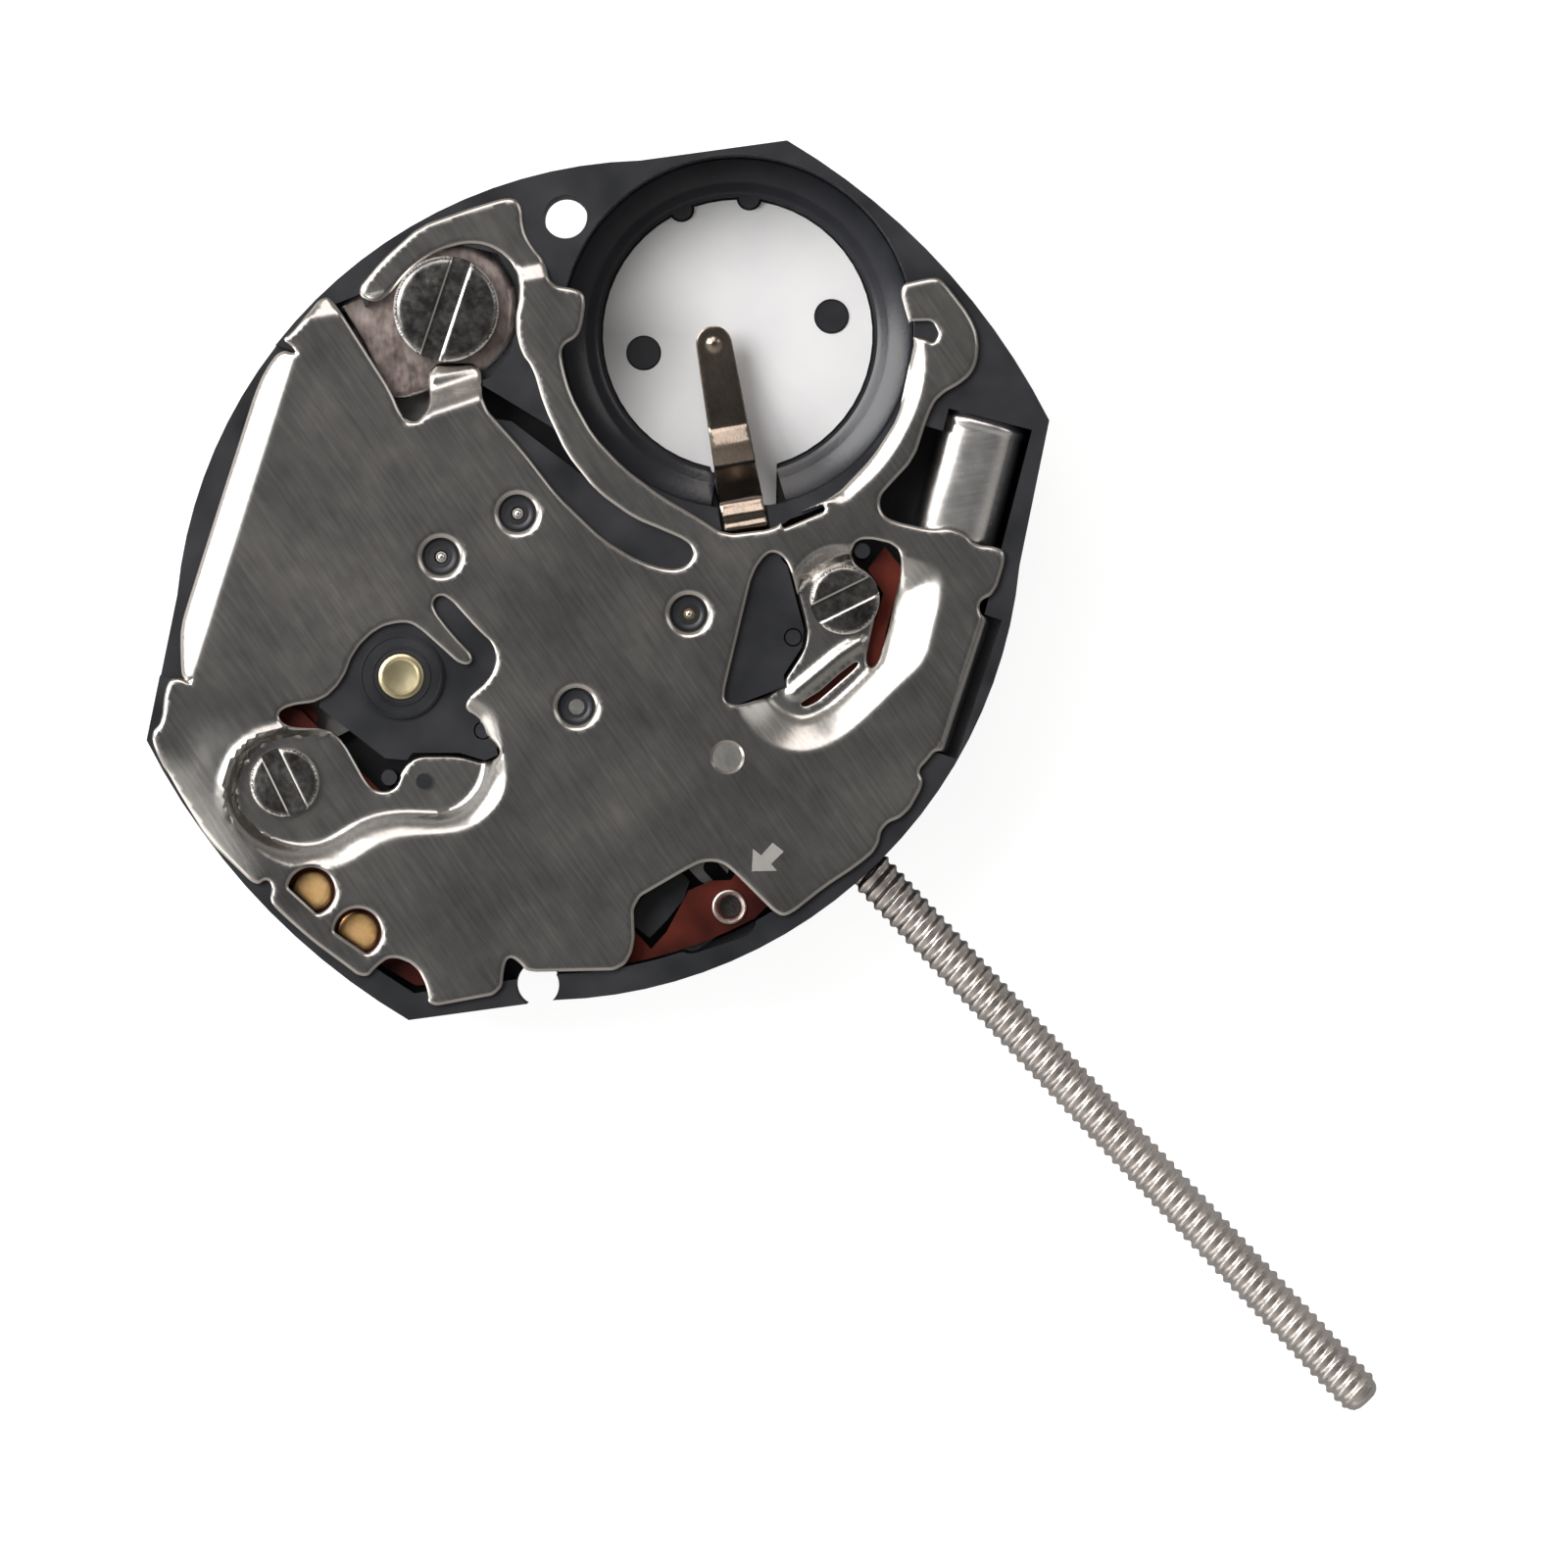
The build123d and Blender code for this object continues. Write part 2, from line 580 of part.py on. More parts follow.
def main_plate():
    """The moulded plate that carries every other piece."""
    body = slab(plate_outline(), 0, plate_top)
    body -= slab(cavity_face(), web_top, plate_top + cut_overrun)

    # Battery well with a ledge for the cell and a floor for the round sheet
    body -= post(well_place, well_radius, well_ledge, plate_top + cut_overrun)
    body -= post(well_place, well_disc_radius + seat_gap, well_floor, plate_top)
    for side in (0, 180):
        place = polar(well_place, well_pin_spread, well_pin_bearing + side)
        pin_top = well_floor + well_disc_thickness + seat_gap
        body += post(place, well_pin_radius - running_gap, well_floor - seat_gap, pin_top)
    for bearing in well_tab_bearings:
        place = polar(well_place, well_disc_radius + seat_gap, bearing)
        body += post(place, well_tab_radius, well_floor - seat_gap, well_ledge)
    bay = polygon(strip_bay_shares) & circle(well_place, well_radius)
    body -= slab(bay, well_floor, plate_top)
    strip_slot = Rectangle(strip_length() / 2, 2 * strip_tip_half_width + 2 * seat_gap)
    strip_bottom = dish_level - strip_thickness
    body -= strip_frame() * slab(strip_slot, strip_bottom, plate_top + cut_overrun)
    body -= strip_room()

    # Pillars and posts that rise from the web
    for place in cover_screw_places:
        body += post(place, screw_pillar_radius, dial_recess_depth, dish_level)
    for place in bridge_post_places:
        body += post(place, bridge_post_radius, dial_recess_depth, bridge_level)
        body += post(place, bridge_stud_radius, bridge_level - seat_gap, plate_top)
    for share in board_post_shares:
        body += post(at(share), bridge_stud_radius, dial_recess_depth, plate_top)
    for place in core_ends:
        body += post(place, stator_ear_radius, dial_recess_depth, stator_level)

    body += slab(polygon(board_pad_shares), dial_recess_depth, board_level - seat_gap)
    for place, teeth, module, level in running_wheels:
        body -= wheel_room(place, teeth, module, level)

    # Seat of the clamp sheet round the large screw
    seat = offset(polygon(clamp_sheet_shares), amount=seat_gap, kind=Kind.INTERSECTION)
    body -= slab(seat, clamp_level, plate_top + cut_overrun)
    body -= slab(polygon(neck_dish_shares), clamp_level, plate_top + cut_overrun)

    # Trench of the crystal can
    trench_radius = crystal_radius + seat_gap
    trench_length = crystal_length + crystal_lead_length
    align = (Align.CENTER, Align.CENTER, Align.MIN)
    trench = Rot(0, 90, 0) * Cylinder(trench_radius, trench_length, align=align)
    top_align = (Align.MIN, Align.CENTER, Align.MIN)
    open_top = Box(trench_length, 2 * trench_radius, 2 * crystal_level, align=top_align)
    body -= crystal_axis_frame() * Pos(-seat_gap, 0, 0) * (trench + open_top)

    # Rim lowered under the folded edges of the cover
    body -= flange_cut(flange_line_shares, flange_reach, flange_drop, -1)
    body -= flange_cut(edge_tab_shares, edge_tab_reach, edge_tab_drop, 1)

    # Room in the rim for the swing of the setting lever
    swing_room = link(lever_pivot_place, lever_dimple_place, lever_half_width + seat_gap)
    for turn in (0, 1 / 2, 1):
        at_pivot = Pos(-lever_pivot_place[0], -lever_pivot_place[1]) * swing_room
        swung = Pos(*lever_pivot_place) * Rot(0, 0, -turn * lever_swing) * at_pivot
        body -= slab(swung, lever_level - running_gap, plate_top + cut_overrun)

    # Stem bearing, clutch pocket and groove for the stem's pilot
    bearing_top = stem_level + shoulder_radius + lever_thickness
    body += block(
        relief_start - stem_bearing_length, relief_start + seat_gap,
        -2 * shoulder_radius, 2 * shoulder_radius, dial_recess_depth, bearing_top,
    )
    body += block(
        pilot_block_start, pilot_block_start + pilot_block_length,
        -2 * pilot_radius, 2 * pilot_radius, dial_recess_depth, stem_level,
    )
    pocket_radius = clutch_radius + seat_gap
    body -= block(
        clutch_start - clutch_shift - seat_gap, shoulder_start, -pocket_radius, pocket_radius,
        stem_level - pocket_radius, plate_top - bridge_thickness,
    )
    body -= rod(pilot_start - seat_gap, square_start, pilot_radius + running_gap, stem_level)
    body -= rod(square_start - seat_gap, shoulder_start, square_sweep + running_gap, stem_level)
    stem_bore = shoulder_radius + running_gap
    body -= rod(shoulder_start - seat_gap, half_width + cut_overrun, stem_bore, stem_level)
    body -= block(
        groove_start - seat_gap, groove_start + groove_width + stem_pull + seat_gap,
        -lever_pin_offset - 2 * lever_pin_radius, 0,
        stem_level - shoulder_radius, web_top + cut_overrun,
    )

    # Pivots of the setting lever, the yoke and the reset lever
    body += post(lever_pivot_place, pivot_boss_radius, dial_recess_depth, lever_level - running_gap)
    pin_top = board_level - running_gap
    body += post(lever_pivot_place, pivot_pin_radius, lever_level - seat_gap, pin_top)
    stud_top = yoke_level + yoke_thickness + seat_gap
    for place in yoke_stud_places:
        body += post(place, yoke_stud_radius, dial_recess_depth, stud_top)
    reset_seat = fourth_wheel_level - running_gap
    body += post(reset_pivot_place, pivot_boss_radius, dial_recess_depth, reset_seat)
    reset_top = fourth_wheel_level + wheel_thickness + seat_gap
    body += post(reset_pivot_place, pivot_pin_radius, reset_seat - seat_gap, reset_top)

    # Dial side: recess of the motion work, and the seat of its guard
    gear_room = addendum_share * motion_module + seat_gap
    recess = circle(hands, hour_wheel_teeth * hour_mesh_module / 2 + gear_room)
    recess += circle(minute_place, minute_wheel_teeth * motion_module / 2 + gear_room)
    recess += circle(setting_place, setting_wheel_teeth * motion_module / 2 + gear_room)
    body -= slab(recess, -cut_overrun, dial_recess_depth)
    guard_top = guard_lift + guard_thickness
    body -= slab(offset(guard_face(), amount=seat_gap), -cut_overrun, guard_top)
    for share in guard_screw_shares:
        body -= post(at(share), guard_shank_radius, 0, guard_top + guard_shank_length)
    stud_bottom = motion_wheel_level - seat_gap
    body += post(setting_place, setting_stud_radius, stud_bottom, dial_recess_depth + seat_gap)

    # Holes for the pivots, the dial feet, the studs and the screws
    hole_top = web_top + seat_gap
    body -= post(hands, cannon_radius + running_gap, -cut_overrun, web_top + cut_overrun)
    for place in (third_place, fifth_place, sixth_place, rotor_place):
        hole_bottom = dial_recess_depth - web_thickness
        body -= post(place, pivot_radius + running_gap, hole_bottom, hole_top)
    body -= post(minute_place, minute_stud_radius, dial_recess_depth - seat_gap, hole_top)
    body -= post(at(foot_hole_share), foot_hole_radius, -cut_overrun, plate_top + cut_overrun)
    body -= post(at(foot_notch_share), foot_hole_radius, -cut_overrun, plate_top + cut_overrun)
    for place in cover_screw_places:
        body -= post(place, screw_shank_radius, dish_top - screw_shank_length, dish_top)
    body -= post(clamp_screw_place, screw_shank_radius, dish_top - screw_shank_length, dish_top)
    return body


def battery_floor_disc():
    """The round sheet on the floor of the battery well."""
    body = post(well_place, well_disc_radius, well_floor, well_floor + well_disc_thickness)
    for side in (0, 180):
        place = polar(well_place, well_pin_spread, well_pin_bearing + side)
        body -= post(place, well_pin_radius, 0, plate_top)
    for bearing in well_tab_bearings:
        place = polar(well_place, well_disc_radius + seat_gap, bearing)
        body -= post(place, well_tab_radius + seat_gap, 0, plate_top)
    tongue = offset(polygon(strip_bay_shares), amount=-seat_gap)
    tongue &= circle(well_place, well_radius - seat_gap)
    return body + slab(tongue, well_floor, well_floor + well_disc_thickness)


def battery_minus_strip():
    """Spring strip that reaches from the board down into the well and up to its tip."""
    length = strip_length()
    line = strip_line()
    below = [(x, z - strip_thickness) for x, z in reversed(line)]
    profile = make_face(Polyline(*line, *below, close=True))
    wide = 2 * strip_tip_half_width
    sheet = extrude(Plane.XZ * profile, amount=wide, both=True)
    plan = make_face(
        Polyline(
            (0, -strip_root_half_width), (length - strip_tip_half_width, -strip_tip_half_width),
            (length - strip_tip_half_width, strip_tip_half_width), (0, strip_root_half_width),
            close=True,
        )
    )
    plan += Pos(length - strip_tip_half_width, 0) * Circle(strip_tip_half_width)
    return strip_frame() * (sheet & slab(plan, 0, cover_top))


def dished_room():
    """Plan of the places where the cover is pressed down below the bridge's top."""
    room = polygon(lower_dish_shares) + polygon(upper_dish_shares) + polygon(neck_dish_shares)
    room -= offset(polygon(triangle_hole_shares), amount=-seat_gap)
    return room - offset(polygon(pillar_window_shares), amount=-seat_gap)


def train_wheel_bridge():
    """Moulded bridge over the running train, with the rotor's boss."""
    face = polygon(bridge_shares) - dished_room()
    face -= circle(well_place, well_radius + well_ring_wall + seat_gap)
    body = slab(face, bridge_level, plate_top)
    body += post(rotor_place, bush_boss_radius, bridge_level, plate_top + bush_boss_height)
    body -= post(rotor_place, bush_radius, 0, cover_top)
    for place in (third_place, fifth_place, sixth_place, hands):
        body -= post(place, pivot_radius + running_gap, 0, cover_top)
    body -= post(minute_place, minute_stud_radius, 0, cover_top)
    for place in bridge_post_places:
        body -= post(place, bridge_stud_radius + running_gap, 0, cover_top)
    return body


def rotor_bush():
    """Brass cap bearing of the rotor, pressed into the bridge."""
    bush_top = plate_top + bush_boss_height + running_gap
    body = post(rotor_place, bush_radius, bridge_level, bush_top)
    body = chamfer(body.edges().sort_by(Axis.Z)[-1], running_gap)
    return body - post(rotor_place, pivot_radius + running_gap, 0, bridge_level + bridge_thickness / 2)


def pad_hole(place, radius):
    """A round hole with one flat side towards the edge of the board."""
    angle = math.degrees(math.atan2(place[1], place[0]))
    keep = Pos(-radius, 0) * Rectangle(2 * radius * (1 + pad_notch_share), 4 * radius)
    return Pos(place[0], place[1]) * Rot(0, 0, angle) * (Circle(radius) & keep)


def circuit_cover():
    """Stamped cover with its dished screw seats, arms round the cell and folded edges."""
    holes = polygon(triangle_hole_shares) + polygon(pillar_window_shares)
    holes += polygon(screw_slot_hole_shares)
    for place in (third_place, fifth_place, sixth_place, minute_place):
        holes += circle(place, cover_pivot_hole_radius)
    for share in pad_shares:
        holes += pad_hole(at(share), pad_hole_radius)
    for place in cover_screw_places:
        holes += circle(place, screw_shank_radius + running_gap)
    for share in board_post_shares:
        holes += circle(at(share), bridge_stud_radius + running_gap)
    sheet = (polygon(cover_edge_shares) & plate_outline()) - holes
    body = sheet
    lowered = []
    for shares in (lower_dish_shares, upper_dish_shares, neck_dish_shares):
        dish = polygon(shares)
        inner = offset(dish, amount=-cover_thickness, kind=Kind.INTERSECTION)
        body -= dish
        lowered.append(slab(sheet & dish, dish_level, dish_top))
        lowered.append(slab(sheet & (dish - inner), dish_level, cover_top))
    body = slab(body, plate_top, cover_top)
    for piece in lowered:
        body += piece
    body -= post(clamp_screw_place, screw_shank_radius + running_gap, 0, cover_top)
    within_rim = slab(offset(plate_outline(), amount=-flange_inset), 0, cover_top)
    body += folded_edge(flange_line_shares, flange_reach, flange_drop, -1) & within_rim
    body += folded_edge(edge_tab_shares, edge_tab_reach, edge_tab_drop, 1) & within_rim
    return body


def cover_clamp_sheet():
    """Thin nickel sheet under the large screw."""
    body = slab(polygon(clamp_sheet_shares), clamp_level, dish_level)
    return body - post(clamp_screw_place, screw_shank_radius + running_gap, 0, cover_top)


def circuit_board():
    """The board that follows the lower and right-hand edge of the plate."""
    body = polygon(board_shares)
    for place in cover_screw_places:
        body -= circle(place, screw_pillar_radius + seat_gap)
    for share in board_post_shares:
        body -= circle(at(share), bridge_stud_radius + seat_gap)
    body -= circle(lever_dimple_place, lever_dimple_radius + seat_gap)
    body -= polygon(board_window_shares)
    body &= offset(plate_outline(), amount=-side_wall - seat_gap)
    return slab(body, board_level, board_top)


def test_pads():
    """Two gold pads on the board, seen through the cover."""
    pads = []
    for share in pad_shares:
        pads.append(slab(pad_hole(at(share), pad_radius), board_top, board_top + pad_thickness))
    return Compound(children=pads)


def ic_chip():
    """The driver chip on the underside of the board, under its moulded drop."""
    place = at(chip_share)
    middle_level = board_level - chip_thickness / 2
    body = Pos(*place, middle_level) * Box(chip_length, chip_width, chip_thickness)
    return chamfer(body.edges().group_by(Axis.Z)[0], chip_thickness / 4)


def quartz_crystal():
    """Drawn can of the tuning-fork crystal with its two leads."""
    align = (Align.CENTER, Align.CENTER, Align.MIN)
    can = Rot(0, 90, 0) * Cylinder(crystal_radius, crystal_length, align=align)
    can = chamfer(can.edges().sort_by(Axis.X)[0], crystal_radius / 6)
    for side in (-1, 1):
        lead = Rot(0, 90, 0) * Cylinder(crystal_lead_radius, crystal_lead_length, align=align)
        can += Pos(crystal_length, side * crystal_lead_spread, 0) * lead
    return crystal_axis_frame() * can


def stator_points():
    """The plan places that the stator's limbs run through."""
    upper, lower = core_ends
    along = math.degrees(math.atan2(lower[1] - upper[1], lower[0] - upper[0]))
    upper_knee = polar(upper, stator_reach_upper, along + 90)
    lower_knee = polar(lower, stator_reach_lower, along + 90)
    return upper, upper_knee, rotor_place, lower_knee, lower


def stator():
    """Soft iron plate that leads the coil's flux round the rotor."""
    points = stator_points()
    face = circle(rotor_place, stator_disc_radius)
    for start, end in zip(points, points[1:]):
        face += link(start, end, stator_limb_half_width)
    for place in core_ends:
        face += circle(place, stator_ear_radius)
    face -= circle(rotor_place, rotor_hole_radius)
    return slab(face, stator_level, stator_top)


def coil_core():
    """Flat core bar that lies on the stator's two ears."""
    face = link(core_ends[0], core_ends[1], core_half_width)
    for place in core_ends:
        face += circle(place, stator_ear_radius)
    return slab(face, stator_top, core_top)


def coil_winding():
    """Copper winding on the core."""
    upper, lower = core_ends
    length = math.dist(upper, lower) - 2 * coil_end_gap
    angle = math.degrees(math.atan2(lower[1] - upper[1], lower[0] - upper[0]))
    middle = ((upper[0] + lower[0]) / 2, (upper[1] + lower[1]) / 2)
    winding = Rot(0, 90, 0) * Cylinder(coil_radius, length)
    winding -= Box(2 * length, 2 * core_half_width, core_thickness)
    return Pos(middle[0], middle[1], coil_axis_level) * Rot(0, 0, angle) * winding


def coil_lead_board():
    """Small terminal board on the lower end of the core."""
    upper, lower = core_ends
    along = math.degrees(math.atan2(lower[1] - upper[1], lower[0] - upper[0]))
    start = polar(lower, stator_ear_radius / 2, along - 90)
    end = polar(lower, 2 * stator_ear_radius, along + 90)
    return slab(link(start, end, core_half_width), core_top, core_top + lead_board_thickness)


def rotor_magnet():
    """Ring magnet of the rotor."""
    bottom = stator_level + (stator_thickness - magnet_thickness) / 2
    body = post(rotor_place, magnet_radius, bottom, bottom + magnet_thickness)
    return body - post(rotor_place, arbor_radius, 0, cover_top)


def arbor(place, bottom, top, shoulder_bottom, shoulder_top):
    """An arbor with a thinner pivot at each end."""
    shaft = post(place, arbor_radius, shoulder_bottom, shoulder_top)
    return shaft + post(place, pivot_radius, bottom, top)


def rotor_arbor():
    """Arbor and pinion of the rotor."""
    body = arbor(
        rotor_place, dial_recess_depth + seat_gap, bridge_level + seat_gap,
        web_top + running_gap, bridge_level - running_gap,
    )
    pinion = gear_face(rotor_place, rotor_pinion_teeth, rotor_mesh_module, rotor_bearing + 180)
    pinion_top = sixth_wheel_level + wheel_thickness + seat_gap
    return body + slab(pinion, sixth_wheel_level - seat_gap, pinion_top)


def train_wheel(place, wheel, wheel_level, pinion, pinion_bottom, pinion_top):
    """A wheel and its pinion on one arbor between the web and the bridge."""
    body = arbor(
        place, dial_recess_depth + seat_gap, plate_top - seat_gap,
        web_top + running_gap, bridge_level - running_gap,
    )
    body += slab(wheel, wheel_level, wheel_level + wheel_thickness)
    return body + slab(pinion, pinion_bottom, pinion_top)


def sixth_wheel():
    """First reduction wheel, driven by the rotor."""
    wheel_turn = rotor_bearing + half_tooth(sixth_wheel_teeth)
    wheel = gear_face(sixth_place, sixth_wheel_teeth, rotor_mesh_module, wheel_turn)
    pinion = gear_face(sixth_place, sixth_pinion_teeth, sixth_mesh_module, sixth_bearing + 180)
    pinion_bottom = fifth_wheel_level - seat_gap
    return train_wheel(sixth_place, wheel, sixth_wheel_level, pinion, pinion_bottom, sixth_wheel_level)


def fifth_wheel():
    """Second reduction wheel, which drives the seconds wheel."""
    wheel_turn = sixth_bearing + half_tooth(fifth_wheel_teeth)
    wheel = gear_face(fifth_place, fifth_wheel_teeth, sixth_mesh_module, wheel_turn)
    pinion = gear_face(fifth_place, fifth_pinion_teeth, fifth_mesh_module, fifth_bearing + 180)
    pinion_bottom = fourth_wheel_level - seat_gap
    return train_wheel(fifth_place, wheel, fifth_wheel_level, pinion, pinion_bottom, fifth_wheel_level)


def fourth_wheel():
    """Seconds wheel on the hands' axis, with the long pivot for the seconds hand."""
    wheel_turn = fifth_bearing + half_tooth(fourth_wheel_teeth)
    wheel = gear_face(hands, fourth_wheel_teeth, fifth_mesh_module, wheel_turn)
    pinion = gear_face(hands, fourth_pinion_teeth, fourth_mesh_module, third_bearing)
    body = post(hands, seconds_pivot_radius, -seconds_pivot_length, plate_top - seat_gap)
    hub_bottom = centre_wheel_level + wheel_thickness + running_gap
    body += post(hands, arbor_radius, hub_bottom, bridge_level - running_gap)
    body += slab(wheel, fourth_wheel_level, fourth_wheel_level + wheel_thickness)
    return body + slab(pinion, third_wheel_level - seat_gap, fourth_wheel_level)


def third_wheel():
    """Third wheel, between the seconds wheel and the centre wheel."""
    wheel_turn = third_bearing + 180 + half_tooth(third_wheel_teeth)
    wheel = gear_face(third_place, third_wheel_teeth, fourth_mesh_module, wheel_turn)
    pinion = gear_face(third_place, third_pinion_teeth, third_mesh_module, third_bearing + 180)
    pinion_top = centre_wheel_level + wheel_thickness + seat_gap
    return train_wheel(third_place, wheel, third_wheel_level, pinion, web_top + running_gap, pinion_top)


def center_wheel():
    """Centre wheel with the cannon that carries the minute hand."""
    wheel_turn = third_bearing + half_tooth(centre_wheel_teeth)
    wheel = gear_face(hands, centre_wheel_teeth, third_mesh_module, wheel_turn)
    pinion = gear_face(hands, cannon_pinion_teeth, motion_module, minute_bearing)
    wheel_top = centre_wheel_level + wheel_thickness
    body = post(hands, cannon_radius, -cannon_length, wheel_top)
    body += slab(wheel, centre_wheel_level, wheel_top)
    pinion_top = motion_wheel_level + wheel_thickness + seat_gap
    body += slab(pinion, motion_wheel_level - seat_gap, pinion_top)
    bore_radius = seconds_pivot_radius + running_gap
    return body - post(hands, bore_radius, -cannon_length - cut_overrun, cover_top)


def minute_wheel():
    """Minute wheel and pinion of the motion work."""
    wheel_turn = minute_bearing + 180 + half_tooth(minute_wheel_teeth)
    wheel = gear_face(minute_place, minute_wheel_teeth, motion_module, wheel_turn)
    pinion = gear_face(minute_place, minute_pinion_teeth, hour_mesh_module, minute_bearing + 180)
    body = slab(wheel, motion_wheel_level, motion_wheel_level + wheel_thickness)
    body += slab(pinion, hour_wheel_lift - seat_gap, motion_wheel_level)
    return body - post(minute_place, minute_stud_radius + running_gap, 0, dial_recess_depth)


def hour_wheel():
    """Hour wheel with the pipe that carries the hour hand."""
    wheel_turn = minute_bearing + half_tooth(hour_wheel_teeth)
    wheel = gear_face(hands, hour_wheel_teeth, hour_mesh_module, wheel_turn)
    wheel_top = hour_wheel_lift + wheel_thickness
    body = slab(wheel, hour_wheel_lift, wheel_top)
    body += post(hands, hour_pipe_radius, -hour_pipe_length, wheel_top)
    return body - post(hands, cannon_radius + running_gap, -hour_pipe_length - cut_overrun, cover_top)


def setting_wheel():
    """Small wheel that the clutch turns when the hands are set."""
    wheel_turn = setting_bearing + 180 + half_tooth(setting_wheel_teeth)
    wheel = gear_face(setting_place, setting_wheel_teeth, motion_module, wheel_turn)
    body = slab(wheel, motion_wheel_level, motion_wheel_level + wheel_thickness)
    return body - post(setting_place, setting_stud_radius + running_gap, 0, dial_recess_depth)


def minute_wheel_stud():
    """Steel stud through the web and the bridge on which the minute wheel turns."""
    return post(minute_place, minute_stud_radius, hour_wheel_lift - seat_gap, plate_top)


def guard_face():
    """Plan of the dial-side guard, clear of the hour wheel and the minute pinion."""
    upper, lower = [at(share) for share in guard_screw_shares]
    knee = at(guard_knee_share)
    face = link(upper, setting_place, guard_half_width)
    face += link(setting_place, knee, guard_half_width)
    face += link(knee, lower, guard_half_width)
    face -= circle(hands, hour_wheel_teeth * hour_mesh_module / 2 + 2 * motion_module)
    return face - circle(minute_place, minute_pinion_teeth * hour_mesh_module / 2 + 2 * motion_module)


def motion_guard():
    """Thin steel guard over the minute wheel and the setting wheel."""
    body = slab(guard_face(), guard_lift, guard_lift + guard_thickness)
    for share in guard_screw_shares:
        body -= post(at(share), guard_shank_radius + running_gap, 0, dial_recess_depth)
    return body


def guard_screws():
    """Two small screws of the guard, with their heads towards the dial."""
    screws = []
    for share in guard_screw_shares:
        place = at(share)
        head = post(place, guard_screw_radius, running_gap, guard_lift)
        shank_top = guard_lift + guard_thickness + guard_shank_length
        shank = post(place, guard_shank_radius, guard_lift, shank_top)
        slot_height = guard_lift + running_gap
        slot = Pos(*place, 0) * Box(4 * guard_screw_radius, screw_slot_width / 2, slot_height)
        screws.append(head + shank - slot)
    return Compound(children=screws)


def clutch_wheel():
    """Clutch on the stem's square, with face teeth towards the setting wheel."""
    body = rod(clutch_start, clutch_end, clutch_radius, stem_level)
    groove_end = clutch_groove_start + clutch_groove_width
    groove = rod(clutch_groove_start, groove_end, 2 * clutch_radius, stem_level)
    neck = rod(clutch_start, clutch_end, clutch_groove_radius, stem_level)
    body = body - groove + neck
    tooth_gap = clutch_radius * math.sin(math.pi / clutch_teeth)
    for tooth in range(clutch_teeth):
        notch = Pos(clutch_start, 0, stem_level) * Rot(360 * tooth / clutch_teeth, 0, 0)
        body -= notch * Pos(0, clutch_radius, 0) * Box(2 * clutch_tooth_depth, clutch_radius, tooth_gap)
    bore = square_half + running_gap
    return body - block(
        clutch_start - cut_overrun, clutch_end + cut_overrun, -bore, bore,
        stem_level - bore, stem_level + bore,
    )


def winding_stem():
    """Stem with its pilot, square, grooved shoulder and the long rod for the crown."""
    body = rod(pilot_start, square_start + seat_gap, pilot_radius, stem_level)
    body += block(
        square_start, shoulder_start + seat_gap, -square_half, square_half,
        stem_level - square_half, stem_level + square_half,
    )
    body += rod(shoulder_start, groove_start, shoulder_radius, stem_level)
    body += rod(groove_start, groove_start + groove_width, groove_radius, stem_level)
    body += rod(groove_start + groove_width, relief_start, shoulder_radius, stem_level)
    body += rod(relief_start, thread_start, relief_radius, stem_level)
    shank = rod(thread_start, stem_end, thread_radius, stem_level)
    return body + chamfer(shank.edges().sort_by(Axis.X)[-1], stem_tip_chamfer)


def setting_lever():
    """Lever whose pin sits in the stem's groove; its dimple frees the stem."""
    face = link(lever_pivot_place, lever_dimple_place, lever_half_width)
    face += link(lever_dimple_place, lever_pin_place, lever_tip_half_width)
    body = slab(face, lever_level, lever_level + lever_thickness)
    body += post(lever_pin_place, lever_pin_radius, lever_level - lever_pin_length, lever_level)
    body -= post(lever_pivot_place, pivot_pin_radius + running_gap, 0, cover_top)
    dimple_floor = lever_level + lever_thickness - lever_dimple_depth
    return body - post(lever_dimple_place, lever_dimple_radius, dimple_floor, cover_top)


def yoke():
    """Yoke that shifts the clutch towards the setting wheel on two slotted studs."""
    face = link(yoke_stud_places[0], yoke_stud_places[1], yoke_half_width)
    face += link(yoke_base_place, (yoke_finger_place[0], -2 * clutch_radius), yoke_arm_half_width)
    finger_length = 2 * clutch_radius - yoke_finger_reach
    finger_middle = (yoke_finger_place[0], -yoke_finger_reach - finger_length / 2)
    face += Pos(*finger_middle) * Rectangle(yoke_finger_width, finger_length)
    slot_half = yoke_stud_radius + running_gap
    for place in yoke_stud_places:
        face -= link(place, (place[0] + clutch_shift, place[1]), slot_half)
    return slab(face, yoke_level, yoke_level + yoke_thickness)


def reset_lever():
    """Thin lever that stops the seconds wheel when the stem is pulled."""
    elbow = at(reset_elbow_share)
    face = link(reset_pivot_place, elbow, reset_lever_half_width)
    face += link(elbow, at(reset_tip_share), reset_lever_half_width)
    face += circle(reset_pivot_place, pivot_boss_radius)
    face -= circle(reset_pivot_place, pivot_pin_radius + running_gap)
    return slab(face, fourth_wheel_level, fourth_wheel_level + wheel_thickness)


def clamp_screw():
    """Large screw beside the battery well."""
    return screw(
        clamp_screw_place, clamp_screw_radius, clamp_screw_head, dish_top, clamp_screw_slot_angle
    )


def cover_screws():
    """Two equal screws that hold the cover in its dished seats."""
    screws = []
    for place, angle in zip(cover_screw_places, cover_screw_slot_angles):
        screws.append(screw(place, cover_screw_radius, cover_screw_head, dish_top, angle))
    return Compound(children=screws)


